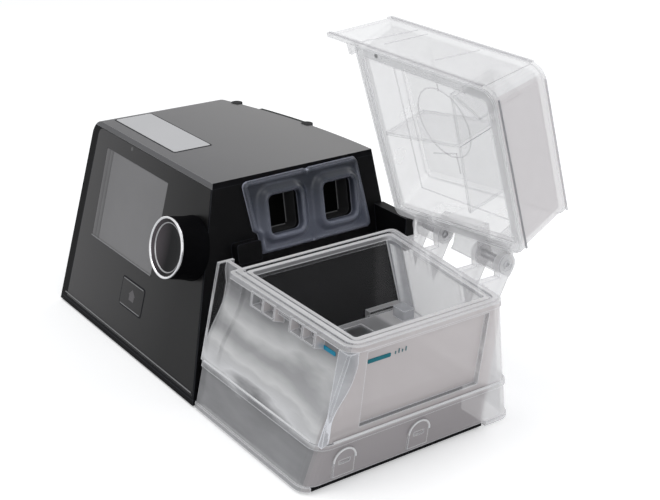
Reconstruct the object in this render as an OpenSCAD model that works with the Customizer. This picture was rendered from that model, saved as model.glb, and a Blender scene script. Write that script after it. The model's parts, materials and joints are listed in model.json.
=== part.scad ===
// Bedside positive-pressure breathing machine with a docked water tank.
// The blower unit stands on the left and the tank on the right, with its lid swung open.
// X runs right along the front, Y to the back and Z up.
// Inside the modules, x = 0 and y = 0 are the unit's lower front corner beside the tank.

/* [Blower unit] */
// Length of the blower unit along its base
unit_len = 157.3; // [150:0.1:170]
// Height of the top face above the table
unit_h = 110; // [105:1:118]
// How far the front face leans back over its height
front_lean = 27.7; // [20:0.5:32]
// How far the docking face leans left over its height
dock_lean = 22; // [16:0.5:24]
// How far the left side leans in over its height
end_lean = 4.4; // [2:0.2:12]
// Depth of the top face beside the docking face
back_y = 128; // [122:1:134]
// Plan radius of the bowed back
back_r = 407; // [350:1:500]
// How far the back leans out towards the base
back_lean = 14; // [8:1:18]
// Radius of the rounded upper left edge
corner_r = 9; // [6:0.5:14]
// Wall of the black housing
wall = 2.4; // [2:0.1:3]
// Thickness of the grey top cover
cover_t = 3; // [2.4:0.1:4]
// Thickness of the front panel
panel_t = 3; // [2.4:0.1:4]
// Height of the rubber feet
foot_h = 1.2; // [0.8:0.1:2]
// Thickness of the base tray
base_t = 2.4; // [2:0.1:3]

/* [Display and controls] */
// Visible width of the display
screen_w = 70; // [64:0.5:74]
// Visible height of the display
screen_h = 52; // [46:0.5:54]
// Left edge of the display, from the docking edge
screen_x = 24.3 - unit_len; // [-136:0.5:-128]
// Lower edge of the display, up the panel
screen_u = unit_h - 60.7; // [46:0.5:52]
// Radius of the selector knob
knob_r = 16; // [14:0.25:17]
// How far the knob stands out of the panel
knob_len = 17.5; // [14:0.5:22]
// Knob centre from the docking edge
knob_x = -27; // [-32:0.5:-25]
// Knob centre up the panel
knob_u = 77.5; // [70:0.5:80]
// Inward travel of the knob
knob_travel = 1; // [0.6:0.1:1.4]
// Width of the home button
home_w = 24; // [18:0.5:26]
// Height of the home button
home_h = 15.5; // [12:0.5:17]
// Travel of the two buttons
button_travel = 0.8; // [0.5:0.1:1.2]
// Length of the start button plate
start_w = 68; // [60:0.5:72]
// Depth of the start button plate
start_d = 22.5; // [18:0.5:26]
// Gap round a moving button
button_gap = 0.5; // [0.4:0.05:0.8]

/* [Water tank] */
// Height of the tank's rim
rim_z = 76; // [72:0.5:78]
// Height of the seam between vessel and skirt
seam_z = 26; // [24:0.5:28]
// Tank length at the rim, from the docking edge
tank_len = 108.5; // [104:0.5:112]
// How much the right end draws in towards the base
tank_draft = 9.5; // [6:0.5:12]
// Wall of the clear tank
tank_wall = 2; // [1.6:0.1:2.6]
// Width of the rim
rim_w = 8; // [6:0.5:9]
// Depth of the hollow in the front wall
wave_d = 6.5; // [3:0.5:8]
// Radius of the tank's upright corners
tank_r = 8; // [5:0.5:10]

/* [Lid] */
// Height of the closed lid's lower edge
lid_z = 77.8; // [77:0.1:79]
// How far the lid stands open in degrees
lid_open = 72; // [60:1:80]
// Hinge axis behind the front edge
hinge_y = 128; // [126:0.5:130]
// Hinge axis height
hinge_z = 82; // [80:0.5:83]
// Radius of the hinge pins
pin_r = 2; // [1.5:0.1:2.5]
// Radial clearance on the hinge pins
pin_fit = 0.06; // [0.02:0.01:0.09]

/* [Hidden] */
$fn = 48;

// The part's origin lies under the middle of its box, on the table.
frame_x = -23.9;
frame_y = 75.2;
front_ang = atan(front_lean / unit_h);
dock_ang = atan(dock_lean / unit_h);
end_ang = atan(end_lean / unit_h);
back_ang = atan(back_lean / unit_h);
slot = 0.3;
far = 300;
base_z = foot_h + base_t;
panel_len = unit_h / cos(front_ang);
skin = 0.05;

// Places a child drawn from the unit's lower front corner into the part's frame.
module framed() { translate([-frame_x, -frame_y, 0]) children(); }

// Local x along the front, y up the panel, z out of it.
module on_panel() { rotate([-front_ang, 0, 0]) rotate([90, 0, 0]) children(); }

// Local x towards the back, y up the docking face, z out of it.
module on_dock() { rotate([0, -dock_ang, 0]) rotate([90, 0, 90]) children(); }

// A rectangle with rounded corners, from its lower left corner.
module round_rect(w, h, r) {
  offset_r = min(r, min(w, h) / 2 - 0.01);
  union() {
    translate([offset_r, 0]) square([w - 2 * offset_r, h]);
    translate([0, offset_r]) square([w, h - 2 * offset_r]);
    for (x = [offset_r, w - offset_r], y = [offset_r, h - offset_r])
      translate([x, y]) circle(r = offset_r, $fn = 24);
  }
}

// Edges of the blower unit at height z
function dock_x(z) = -dock_lean * z / unit_h;
function end_x(z) = -unit_len + end_lean * z / unit_h;
function front_y(z) = front_lean * z / unit_h;

// Front view of the blower unit: leaning sides and a rounded upper left edge.
module front_outline(inset, top) {
  r = max(corner_r - inset, 1);
  cz = unit_h - top - r;
  cx = end_x(cz) + inset + r / cos(end_ang);
  polygon(concat(
    [[dock_x(-far / 10) - inset, -far / 10], [dock_x(unit_h - top) - inset, unit_h - top]],
    [for (i = [0:10]) let (t = 90 + (90 - end_ang) * i / 10) [cx + r * cos(t), cz + r * sin(t)]],
    [[end_x(-far / 10) + inset, -far / 10]]));
}

// Solid of the blower unit, with its walls moved in by inset, top and front.
module unit_form(inset = 0, top = 0, front = 0) {
  intersection() {
    rotate([90, 0, 0]) translate([0, 0, -far]) linear_extrude(2 * far) front_outline(inset, top);
    on_panel() translate([-far, -far / 2, -far]) cube([2 * far, 2 * far, far - front]);
    translate([0, back_y, unit_h]) rotate([back_ang, 0, 0])
      translate([dock_x(unit_h), -back_r, -far]) cylinder(r = back_r - inset, h = 2 * far, $fn = 360);
  }
}

// Everything above a height
module above(z) { translate([-far, -far, z]) cube([2 * far, 2 * far, far]); }
// Everything below a height
module below(z) { translate([-far, -far, z - far]) cube([2 * far, 2 * far, far]); }

// Openings of the two air ports, on the docking face
port_w = 20;
port_h = 21;
port_s = unit_h - 30.5;
port_y = [56.5, 91];
module port_holes(depth, grow = 0) {
  on_dock() for (i = [0, 1])
    translate([port_y[i] - grow, port_s - grow, -depth]) linear_extrude(depth + far / 10)
      round_rect(port_w + 2 * grow, port_h + 2 * grow, 3 + grow);
}

outlet_x = 39.3 - unit_len;
outlet_r = 11;
outlet_bore = 9;
outlet_len = 24;
socket_x = 95.3 - unit_len;
socket_z = 22;
socket_w = 16;
socket_h = 12;
filter_x = 39.8 - unit_len;
filter_w = 36;
filter_h = 40;
filter_z = unit_h - filter_h;
outlet_z = filter_z - outlet_r - 7;
function back_at(x, z) = back_y - back_r + sqrt(back_r * back_r - pow(x - dock_x(unit_h), 2))
  + back_lean * (unit_h - z) / unit_h;

// The black housing: left side, back and docking wall, open at top, front and base.
module main_housing() {
  color([0.06, 0.06, 0.065]) framed() difference() {
    union() {
      intersection() {
        unit_form(0, 0, 0);
        above(base_z);
        below(unit_h - cover_t);
      }
      dock_lugs();
      rear_lug();
      back_lugs();
    }
    intersection() {
      unit_form(wall, -far / 30, panel_t + slot);
      above(base_z - 1);
    }
    on_panel() translate([0, 0, -panel_t - slot]) linear_extrude(far) panel_outline(0);
    port_holes(wall + 4);
    translate([outlet_x, 0, outlet_z]) rotate([-90, 0, 0]) cylinder(r = outlet_r + 4 + slot, h = far);
    translate([socket_x - socket_w / 2 - slot, back_y - wall, socket_z - socket_h / 2 - slot])
      cube([socket_w + 2 * slot, far / 10, socket_h + 2 * slot]);
    translate([filter_x + 4, 80, filter_z + 4]) cube([filter_w - 8, far, filter_h - 14]);
    card_cut(slot);
    card_hinge() cylinder(r = card_pin_r + 0.04, h = card_w + 4.6, center = true);
  }
}

// Round lugs on the back edge, beside the inlet cover.
module back_lugs() {
  r = 3.4;
  for (x = [filter_x + filter_w + slot + r, filter_x - 17]) difference() {
    translate([x, back_at(x, unit_h), unit_h - 16]) cylinder(r = r, h = 16.4, $fn = 32);
    intersection() {
      unit_form(-slot, -slot, 0);
      above(unit_h - cover_t - slot);
    }
  }
}

// Guide lugs on the docking face, in front of the gasket.
lug_out = 6;
module dock_lugs() {
  on_dock() translate([port_y[0] - 22.5, port_s - 10.5, -wall]) linear_extrude(wall + lug_out) round_rect(14.5, 10.5, 1.5);
}

// Rear corner block that carries the tank's back edge.
module rear_lug() {
  translate([dock_x(66) - wall, lid_back_left + 1.6, 62]) cube([12 - dock_x(66) + wall, 6, 18.5]);
}

// Outline of the front panel, in panel coordinates, moved in by gap.
panel_rim = 2.6;
left_rim = 6.8;
module panel_outline(gap) {
  m = panel_rim + gap;
  top_u = (unit_h - cover_t) / cos(front_ang) - gap;
  low_u = (base_z + 1.4) / cos(front_ang) + gap;
  r = corner_r / 2;
  cz = top_u - r;
  cx = end_x(cz * cos(front_ang)) + left_rim + gap + r;
  polygon(concat(
    [[dock_x(low_u) - m / 2, low_u], [dock_x(top_u * cos(front_ang)) - m / 2, top_u]],
    [for (i = [0:8]) let (t = 90 + (90 - end_ang) * i / 8) [cx + r * cos(t), cz + r * sin(t)]],
    [[end_x(low_u) + left_rim + gap, low_u]]));
}

// Grey cover over the top, rounded down at the left, with a window for the start button.
module top_cover() {
  color([0.42, 0.42, 0.43]) framed() difference() {
    unit_form(0, 0, 0);
    difference() {
      unit_form(-far / 30, cover_t, -far / 30);
      above(unit_h - cover_t + skin);
    }
    below(unit_h - cover_t);
    translate([start_x - button_gap, start_y - button_gap, 0])
      linear_extrude(far) round_rect(start_w + 2 * button_gap, start_d + 2 * button_gap, 1.5);
  }
}
start_x = 14.3 - unit_len;
start_y = 35.7;

home_x = -89.5;
home_u = screen_u - 25.3;
lens_x = screen_x + 27;
lens_u = unit_h - 2;
lens_r = 1.1;

// Glossy front panel with cut-outs for the display, knob, home button and indicator.
module front_panel() {
  color([0.15, 0.145, 0.15]) framed() on_panel() difference() {
    translate([0, 0, -panel_t]) linear_extrude(panel_t) panel_outline(slot);
    translate([screen_x, screen_u, -far / 2]) cube([screen_w, screen_h, far]);
    translate([knob_x, knob_u, -far / 2]) cylinder(r = shaft_r + 0.6, h = far);
    translate([lens_x, lens_u, -far / 2]) cylinder(r = lens_r + 0.05, h = far);
    translate([home_x - button_gap, home_u - button_gap, -far / 2])
      linear_extrude(far) round_rect(home_w + 2 * button_gap, home_h + 2 * button_gap, 1.5);
  }
}

// Clear window set in the panel, over the display.
module display_window() {
  color([0.35, 0.35, 0.37]) framed() on_panel()
    translate([screen_x + 0.1, screen_u + 0.1, -1.7])
      cube([screen_w - 0.2, screen_h - 0.2, 1.5]);
}

// Liquid crystal module behind the window, in its metal frame.
module display_module() {
  color([0.2, 0.2, 0.22]) framed() on_panel()
    translate([screen_x - 3, screen_u - 3.5, -panel_t - 3.6])
      cube([screen_w + 6, screen_h + 4, 3.5]);
}

// Light pipe of the indicator.
module indicator_lens() {
  color([0.5, 0.5, 0.5]) framed() on_panel()
    translate([lens_x, lens_u, -panel_t - 1]) cylinder(r = lens_r, h = panel_t + 1, $fn = 24);
}

ring_w = 1.5;
ring_t = 3;
shaft_r = 3;

// Black body of the selector knob: a cup with a hub for the shaft.
module knob_body() {
  color([0.05, 0.05, 0.055]) framed() on_panel() translate([knob_x, knob_u, 0])
    rotate_extrude($fn = 96) polygon([
      [shaft_r + skin, knob_travel + 1.5], [knob_r - 2.4, knob_travel + 1.5],
      [knob_r - 0.4, knob_travel + 0.5], [knob_r - 0.2, knob_len - ring_t],
      [knob_r - ring_w - 0.2, knob_len - ring_t], [knob_r - ring_w - 0.2, knob_len - ring_t - 1.02],
      [shaft_r + skin, knob_len - ring_t - 1]]);
}

// Bright ring round the knob's front edge.
module knob_ring() {
  color([0.85, 0.85, 0.87]) framed() on_panel() translate([knob_x, knob_u, knob_len - ring_t])
    rotate_extrude($fn = 96) polygon([
      [knob_r - ring_w, 0], [knob_r - 0.2, 0], [knob_r, 0.6], [knob_r, ring_t - 1],
      [knob_r - 0.8, ring_t], [knob_r - ring_w, ring_t - 1.2]]);
}

// Dished dark cap inside the ring.
module knob_face() {
  color([0.2, 0.2, 0.21]) framed() on_panel() translate([knob_x, knob_u, knob_len - ring_t - 1])
    rotate_extrude($fn = 96) polygon([
      [0, 0], [knob_r - ring_w - 0.25, 0], [knob_r - ring_w - 0.25, 1],
      [knob_r - ring_w, 1], [knob_r - ring_w, ring_t - 0.2],
      [knob_r - ring_w - 3, ring_t - 0.8], [0, ring_t - 1.2]]);
}

// Shaft of the rotary switch, which the knob turns on and pushes in.
module knob_shaft() {
  color([0.7, 0.7, 0.7]) framed() on_panel() translate([knob_x, knob_u, -8])
    cylinder(r = shaft_r, h = 8 + knob_len - ring_t - 1);
}

// Rotary switch with a round collar for the shaft, behind the panel.
module knob_encoder() {
  color([0.3, 0.32, 0.3]) framed() on_panel() translate([knob_x, knob_u, -panel_t - slot])
    difference() {
      union() {
        translate([-7, -7, -7]) cube([14, 14, 5]);
        translate([0, 0, -2]) cylinder(r = 5, h = 2);
      }
      translate([0, 0, -6]) cylinder(r = shaft_r + 0.06, h = far);
    }
}

// Home button: a shallow plate with a stem behind it.
module home_button() {
  color([0.16, 0.155, 0.16]) framed() on_panel() union() {
    translate([home_x, home_u, -panel_t - 0.5]) linear_extrude(panel_t + 0.7) round_rect(home_w, home_h, 1.2);
    translate([home_x - key_lip, home_u - key_lip, -panel_t - 1.4]) linear_extrude(1.2)
      round_rect(home_w + 2 * key_lip, home_h + 2 * key_lip, 1.5);
    translate([home_x + home_w / 2, home_u + home_h / 2, -home_stem]) cylinder(r = 2, h = 2);
  }
}

// Start and stop button: a satin plate flush with the top cover.
module start_button() {
  color([0.75, 0.75, 0.77]) framed() union() {
    translate([start_x, start_y, unit_h - cover_t - 0.5])
      linear_extrude(cover_t + 0.7) round_rect(start_w, start_d, 1.2);
    translate([start_x - key_lip, start_y - key_lip, unit_h - cover_t - 1.4]) linear_extrude(1.2)
      round_rect(start_w + 2 * key_lip, start_d + 2 * key_lip, 1.5);
    translate([start_x + start_w / 2, start_y + start_d / 2, unit_h - cover_t - 4]) cylinder(r = 3, h = 3);
  }
}

// Lip that keeps a button in its window
key_lip = 1.5;
home_stem = 6;
// A switch on a narrow board, hung by a post at each end.
module switch_board(span, drop) {
  translate([-4, -4, -2]) cube([8, 8, 2]);
  translate([-8, -span / 2, -3.6]) cube([16, span, 1.6]);
  for (s = [-1, 1]) translate([-2, s * (span / 2 - 1.5) - 1.5, -2.1]) cube([4, 3, drop + 2.1]);
}

// Push switches under the two buttons, on their small boards.
module tact_switches() {
  color([0.1, 0.3, 0.15]) framed() union() {
    translate([start_x + start_w / 2, start_y + start_d / 2, unit_h - cover_t - 4 - button_travel - 0.2])
      switch_board(start_d + 10.5, 4 + button_travel + 0.2);
    on_panel() translate([home_x + home_w / 2, home_u + home_h / 2, -home_stem - button_travel - 0.2])
      switch_board(home_h + 12, home_stem + button_travel + 0.1 - panel_t);
  }
}

// Soft seal on the docking face: a flange with two raised lips round the ports.
module docking_gasket() {
  color([0.45, 0.52, 0.6]) framed() on_dock() difference() {
    union() {
      translate([0, 0, slot / 3]) linear_extrude(1.6) difference() {
        translate([port_y[0], port_s]) polygon([[-12.5, 28.5], [-10.5, 30.1], [58.5, 31.1], [60.5, 29.5],
          [66, -7], [64.5, -9], [-5, -9.5], [-6.5, 2], [-9, 3.5]]);
      }
      for (i = [0, 1]) translate([port_y[i] - 3, port_s - 3, slot / 3]) linear_extrude(5)
        round_rect(port_w + 6, port_h + 6, 6);
    }
    for (i = [0, 1]) translate([port_y[i], port_s, -1]) linear_extrude(far / 10)
      round_rect(port_w, port_h, 3);
  }
}

// Air duct block behind the docking wall: one channel from the blower, one to the outlet.
duct_depth = 26;
module duct_block() {
  color([0.12, 0.12, 0.125]) framed() on_dock() difference() {
    translate([port_y[0] - 2.5, port_s - 2.5, -wall - slot - duct_depth])
      cube([port_y[1] + port_w + 2.5 - port_y[0] + 2.5, port_h + 5, duct_depth]);
    for (i = [0, 1]) translate([port_y[i], port_s, -wall - slot - duct_depth + 2.5])
      linear_extrude(far / 10) round_rect(port_w, port_h, 3);
  }
}

blower_c = [59.3 - unit_len, 72];
blower_z = 34;
blower_r = 27;
blower_h = 26;
shaft_d = 3;

// Volute of the blower, with the motor's seat and the outlet throat.
module blower_housing() {
  color([0.8, 0.8, 0.78]) framed() translate([blower_c[0], blower_c[1], blower_z]) difference() {
    union() {
      cylinder(r = blower_r, h = blower_h, $fn = 96);
      cube([blower_r + 8, blower_r, 14]);
      for (a = [30, 150, 270]) rotate([0, 0, a]) translate([blower_r - 4, 0, base_z - blower_z])
        cylinder(r = 3, h = blower_z - base_z + 1);
    }
    translate([0, 0, 2]) cylinder(r = blower_r - 2, h = blower_h - 4, $fn = 96);
    translate([0, 0, blower_h - 3]) cylinder(r = 10, h = 10);
    translate([10, blower_r - 14, 2]) cube([far / 10, 12, 10]);
    translate([0, 0, -1]) cylinder(r = shaft_d / 2 + 0.5, h = 10);
  }
}

// Brushless motor under the volute.
module blower_motor() {
  color([0.35, 0.35, 0.37]) framed() translate([blower_c[0], blower_c[1], blower_z - 16 - slot / 3])
    difference() {
      cylinder(r = 17, h = 16, $fn = 64);
      translate([0, 0, 4]) cylinder(r = shaft_d / 2 + 0.06, h = 20);
    }
}

// Shaft that the impeller is pressed on.
module motor_shaft() {
  color([0.7, 0.7, 0.72]) framed() translate([blower_c[0], blower_c[1], blower_z - 12])
    cylinder(r = shaft_d / 2, h = 12 + 16, $fn = 32);
}

// Centrifugal impeller: a back disc, a hub and a ring of swept blades.
blades = 11;
module impeller() {
  color([0.9, 0.9, 0.88]) framed() translate([blower_c[0], blower_c[1], blower_z + 4]) difference() {
    union() {
      cylinder(r = blower_r - 5, h = 1.5, $fn = 96);
      cylinder(r = 5, h = 13);
      for (i = [0:blades - 1]) rotate([0, 0, 360 * i / blades]) intersection() {
        translate([0, 12, 0]) difference() {
          cylinder(r = 15, h = 11);
          translate([0, 0, -1]) cylinder(r = 14, h = 20);
        }
        translate([4, -4, 0]) cube([blower_r - 10, 26, 11]);
        cylinder(r = blower_r - 5.5, h = 11, $fn = 96);
      }
    }
    translate([0, 0, -1]) cylinder(r = shaft_d / 2 + skin / 5, h = 20, $fn = 32);
  }
}

// Main circuit board, flat over the base tray.
module circuit_board() {
  color([0.05, 0.3, 0.15]) framed() union() {
    translate([-64, 30, base_z + 4]) cube([46, 72, 1.6]);
    for (x = [-59, -24], y = [35, 97]) translate([x, y, base_z]) cylinder(r = 3, h = 4);
    translate([-60, 84, base_z + 5.6]) cube([22, 14, 8]);
    translate([-40, 45, base_z + 5.6]) cube([16, 16, 2.4]);
  }
}

// Foam filter in the inlet at the back.
module air_filter() {
  color([0.75, 0.78, 0.8]) framed() intersection() {
    difference() {
      unit_form(slot, 0, 0);
      unit_form(5, -far / 30, -far / 30);
    }
    translate([filter_x + 4 + slot, 80, filter_z + 4 + slot])
      cube([filter_w - 8 - 2 * slot, far, filter_h - 14 - 2 * slot]);
  }
}

// Slotted inlet cover, curved with the back, with its upper edge by the top cover.
cover_out = 2.6;
module filter_cover() {
  color([0.08, 0.08, 0.085]) framed() difference() {
    intersection() {
      unit_form(-cover_out, 0.2, 0);
      translate([filter_x, 80, filter_z]) cube([filter_w, far, filter_h]);
    }
    unit_form(-slot, -far / 30, 0);
    for (i = [0:5]) translate([filter_x + 5, 0, filter_z + 6 + 4.5 * i]) cube([filter_w - 10, far, 2]);
  }
}

// Inlet socket for the supply lead, at the back.
module power_socket() {
  color([0.05, 0.05, 0.05]) framed() difference() {
    translate([socket_x - socket_w / 2, back_at(socket_x, socket_z) - 14, socket_z - socket_h / 2])
      cube([socket_w, 14, socket_h]);
    translate([socket_x, back_at(socket_x, socket_z) - 11, socket_z]) rotate([-90, 0, 0])
      cylinder(r = 4.3, h = 30);
  }
}

// Outlet cone for the breathing hose, at the back.
module air_outlet() {
  color([0.3, 0.3, 0.32]) framed()
    translate([outlet_x, back_at(outlet_x, outlet_z) - 10, outlet_z]) rotate([-90, 0, 0]) difference() {
      union() {
        cylinder(r = outlet_r, h = 10 + outlet_len, $fn = 64);
        cylinder(r = outlet_r + 4, h = 12, $fn = 64);
      }
      translate([0, 0, -1]) cylinder(r = outlet_bore, h = 60, $fn = 64);
    }
}

// Flap over the memory card slot, in the left side.
card_y = 78;
card_w = 30;
card_h = 9;
card_z = 30;
module card_cut(gap) {
  translate([end_x(card_z) - 4, card_y - gap, card_z - gap]) cube([12, card_w + 2 * gap, card_h + 2 * gap]);
}
card_axis_z = card_z + 1.3;
card_pin_r = 0.8;
// Local z along the card cover's hinge
module card_hinge() {
  translate([end_x(card_axis_z) + 1.2, card_y + card_w / 2, card_axis_z]) rotate([90, 0, 0]) children();
}
module card_cover() {
  color([0.09, 0.09, 0.095]) framed() union() {
    intersection() {
      difference() {
        unit_form(0, 0, 0);
        unit_form(wall - 0.4, 0, 0);
      }
      card_cut(0);
      above(card_axis_z);
    }
    card_hinge() cylinder(r = card_pin_r + 0.35, h = card_w, center = true);
    card_hinge() cylinder(r = card_pin_r, h = card_w + 4, center = true);
  }
}

// Base tray: floor of the blower unit that runs on under the tank.
module base_tray() {
  color([0.07, 0.07, 0.075]) framed() difference() {
    union() {
      intersection() {
        unit_form(0, 0, 0);
        above(foot_h);
        below(base_z);
      }
      translate([-6, tray_front, foot_h]) cube([tray_right + 6, tray_back - tray_front, base_t]);
    }
    for (p = screw_at) translate([p[0], p[1], -1]) cylinder(r = 1.7, h = 20, $fn = 24);
    for (p = screw_at) translate([p[0], p[1], -1]) cylinder(r = 3.4, h = foot_h + 2.2, $fn = 32);
  }
}
tray_front = 6;
tray_back = 110;
tray_right = tank_len - tank_draft - 1.5;
screw_at = [[11.3 - unit_len, 20], [11.3 - unit_len, 108], [-20, 20], [-20, 120]];
foot_at = [[9.3 - unit_len, 8], [12.3 - unit_len, 118], [-8, 10], [-8, 132],
  [tray_right - 13.5, 16], [tray_right - 13.5, 100]];
foot_r = 5;

// Soft feet under the tray.
module rubber_feet() {
  color([0.12, 0.12, 0.12]) framed() for (p = foot_at)
    translate([p[0], p[1], 0]) cylinder(r = foot_r, h = foot_h, $fn = 32);
}

// Screws that hold the tray to the housing.
module base_screws() {
  color([0.6, 0.6, 0.6]) framed() for (p = screw_at) translate([p[0], p[1], foot_h + 0.2]) union() {
    cylinder(r = 3, h = 1, $fn = 24);
    cylinder(r = 1.5, h = 8, $fn = 24);
  }
}

// Heater housing that the tank slides over.
heater_top = seam_z - 1.2;
module heater_housing() {
  color([0.09, 0.09, 0.095]) framed() difference() {
    translate([3, tray_front + 6, base_z]) cube([tray_right - 12, tray_back - tray_front - 12, heater_top - base_z - 1.4]);
    translate([14, tray_front + 16, base_z + 2]) cube([tray_right - 34, tray_back - tray_front - 32, heater_top]);
  }
}

// Metal heater plate on top of the heater housing.
module heater_plate() {
  color([0.7, 0.7, 0.72]) framed()
    translate([10, tray_front + 12, heater_top - 1.4]) linear_extrude(1.4)
      round_rect(tray_right - 26, tray_back - tray_front - 24, 6);
}

// Right end of the tank at height z
function tank_x(z) = tank_len - tank_draft * (rim_z - z) / rim_z;
// Smooth step from 0 to 1
function ease(t) = let (s = min(max(t, 0), 1)) s * s * (3 - 2 * s);
// How far the vessel's front is hollowed behind the leaning front plane
function wave(z) = wave_d * ease((z - seam_z - 8) / 24) - 2 * ease((z - rim_z + 12) / 8);
function wall_y(z) = front_y(z) + wave(z);
// Back of the tank at its right end and at the docking edge, and its flare to the base
tank_back_right = 110;
tank_back_left = 122.5;
back_flare = 18;
back_slope = (tank_back_left - tank_back_right) / tank_len;
function tank_back(x, z) = tank_back_right + back_slope * (tank_len - x) + back_flare * (rim_z - z) / rim_z;
vessel_left = 9;

// Points of a convex outline with each corner rounded to its own radius
function unit_normal(a, b) = let (d = b - a) [d[1], -d[0]] / norm(d);
function round_corner(a, v, b, r, n) = let (
    n1 = unit_normal(a, v), n2 = unit_normal(v, b), c = v - r * (n1 + n2) / (1 + n1 * n2),
    a1 = atan2(n1[1], n1[0]), turn = acos(min(1, n1 * n2)))
  [for (i = [0:n]) c + r * [cos(a1 + turn * i / n), sin(a1 + turn * i / n)]];
function round_outline(pts, radii, n = 6) = [for (i = [0:3]) each
  round_corner(pts[(i + 3) % 4], pts[i], pts[(i + 1) % 4], max(radii[i], 0.2), n)];

// Closed solid through a list of rings with the same number of points; a tube joins last to first.
module loft(rings, tube = false) {
  n = len(rings[0]);
  m = len(rings);
  pts = [for (ring = rings) each ring];
  sides = [for (k = [0:m - (tube ? 1 : 2)], i = [0:n - 1])
    let (k2 = (k + 1) % m, a = k * n + i, b = k * n + (i + 1) % n, c = k2 * n + i, d = k2 * n + (i + 1) % n)
    each [[a, c, b], [b, c, d]]];
  caps = tube ? [] : [[for (i = [0:n - 1]) i], [for (i = [0:n - 1]) m * n - 1 - i]];
  polyhedron(pts, concat(sides, caps), convexity = 10);
}
function at_height(pts, z) = [for (p = pts) [p[0], p[1], z]];

// One ring of the tank: height, then how far each side lies inside the reference planes
function tank_ring(z, f, r, b, l) = let (
    x0 = vessel_left + l, x1 = tank_x(z) - r, y0 = front_y(z) + f,
    rad = max(tank_r - max(f, r), 1.5))
  at_height(round_outline(
    [[x0, y0], [x1, y0], [x1, tank_back(x1, z) - b], [x0, tank_back(x0, z) - b]],
    [2, rad, max(tank_r - max(b, r), 1.5), 3]), z);

// Solid of the tank between two heights, its walls moved in by inset, its left side at left.
module tank_form(inset, z0, z1, left) {
  l = left - vessel_left;
  loft([for (z = [z0, z1]) tank_ring(z, inset, inset, inset, l)]);
}

end_wall = 5.5;
rim_h = 4;
// Vessel shell as one loft: up the outside, over the stepped rim and down the inside
wave_steps = 12;
wall_top = rim_z - rim_h;
function vessel_out() = [for (i = [0:wave_steps]) let (z = seam_z + (wall_top - seam_z) * i / wave_steps)
  tank_ring(z, wave(z), 0.8, 0.8, 0)];
function vessel_rim() = [
  tank_ring(wall_top, 0, 0, 0, -1.5),
  tank_ring(rim_z - 1, -0.4, 0, 0, -1.5),
  tank_ring(rim_z - 1, 1.4, 1.6, 1.6, 0),
  tank_ring(rim_z, 1.6, 1.8, 1.8, 0.2),
  tank_ring(rim_z, 4.2, 4, 4, 2.4),
  tank_ring(rim_z - 1.6, 4.4, 4.2, 4.2, 2.6),
  tank_ring(rim_z - 1.6, 5.6, 5.4, 5.4, 3.8),
  tank_ring(rim_z - 0.4, 5.8, 5.6, 5.6, 4),
  tank_ring(rim_z - 0.4, rim_w - 0.4, rim_w, rim_w - 0.4, rim_w - 1.9),
  tank_ring(rim_z - 3, rim_w, rim_w, rim_w - 0.2, rim_w - 1.7),
  tank_ring(rim_z - 3, rim_w - 0.8, rim_w - 1, rim_w - 1, rim_w - 2.8)];
function vessel_in() = [for (i = [wave_steps:-1:0])
  let (z = seam_z + tank_wall + (wall_top - 3 - seam_z - tank_wall) * i / wave_steps)
  tank_ring(z, wave(z) + tank_wall + 0.2, end_wall, tank_wall + 0.8, tank_wall)];
module vessel() { loft(concat(vessel_out(), vessel_rim(), vessel_in())); }

ear_x = [26, 72];
ear_w = 4;
knuckle_w = 12;

// Clear vessel: waved front, stepped rim, floor with a seat for the metal plate, and hinge ears.
module tank_body() {
  color([0.8, 0.82, 0.84, 0.4]) framed() difference() {
    union() {
      vessel();
      wing(seam_z, rim_z - 0.4);
      catches();
      hinge_ears();
    }
    plate_seat(0);
    end_recess();
    hinge_line() translate([0, 0, -1]) cylinder(r = pin_r + skin / 2, h = tank_len);
  }
}

// Opening in the floor for the metal plate
module plate_seat(gap) {
  translate([vessel_left + 6 + gap, tray_front + 14 + gap, seam_z - 0.4 - gap])
    cube([tray_right - vessel_left - 20 - 2 * gap, tray_back - tray_front - 28 - 2 * gap, tank_wall + 2]);
}

// Shallow field sunk into the right end between its corner posts
module end_recess() {
  intersection() {
    difference() {
      tank_form(-5, seam_z + 4, wall_top - 1.5, 50);
      tank_form(end_wall - tank_wall, seam_z, rim_z, -30);
    }
    translate([60, front_y(wall_top) + 11, 0]) cube([far, tank_back_right - front_y(wall_top) - 20, far]);
  }
}

// Left edge of the wing at height z
wing_top = -4.4;
function wing_x(z) = wing_top * z / rim_z;
// Front wall running on to the unit's edge, with an upright fin that stops at the front plane
fin_t = 1.8;
module wing(z0, z1) {
  n = 14;
  zs = [for (i = [0:n]) z0 + (z1 - z0) * i / n];
  intersection() {
    rotate([90, 0, 90]) translate([0, 0, wing_top - 5]) linear_extrude(vessel_left + 8 - wing_top)
      polygon(concat([for (z = zs) [wall_y(z), z]],
        [for (i = [n:-1:0]) [wall_y(zs[i]) + tank_wall, zs[i]]]));
    wing_field(z0, z1, 20);
  }
  intersection() {
    rotate([90, 0, 90]) translate([0, 0, wing_top - 5]) linear_extrude(20)
      polygon([[front_y(z0), z0], [front_y(z0) + 9, z0], [front_y(z1) + 9, z1], [front_y(z1), z1]]);
    wing_field(z0, z1, fin_t);
  }
}
module wing_field(z0, z1, w) {
  rotate([90, 0, 0]) translate([0, 0, -far]) linear_extrude(2 * far)
    polygon([[wing_x(z0), z0], [wing_x(z0) + w, z0], [wing_x(z1) + w, z1], [wing_x(z1), z1]]);
}

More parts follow.
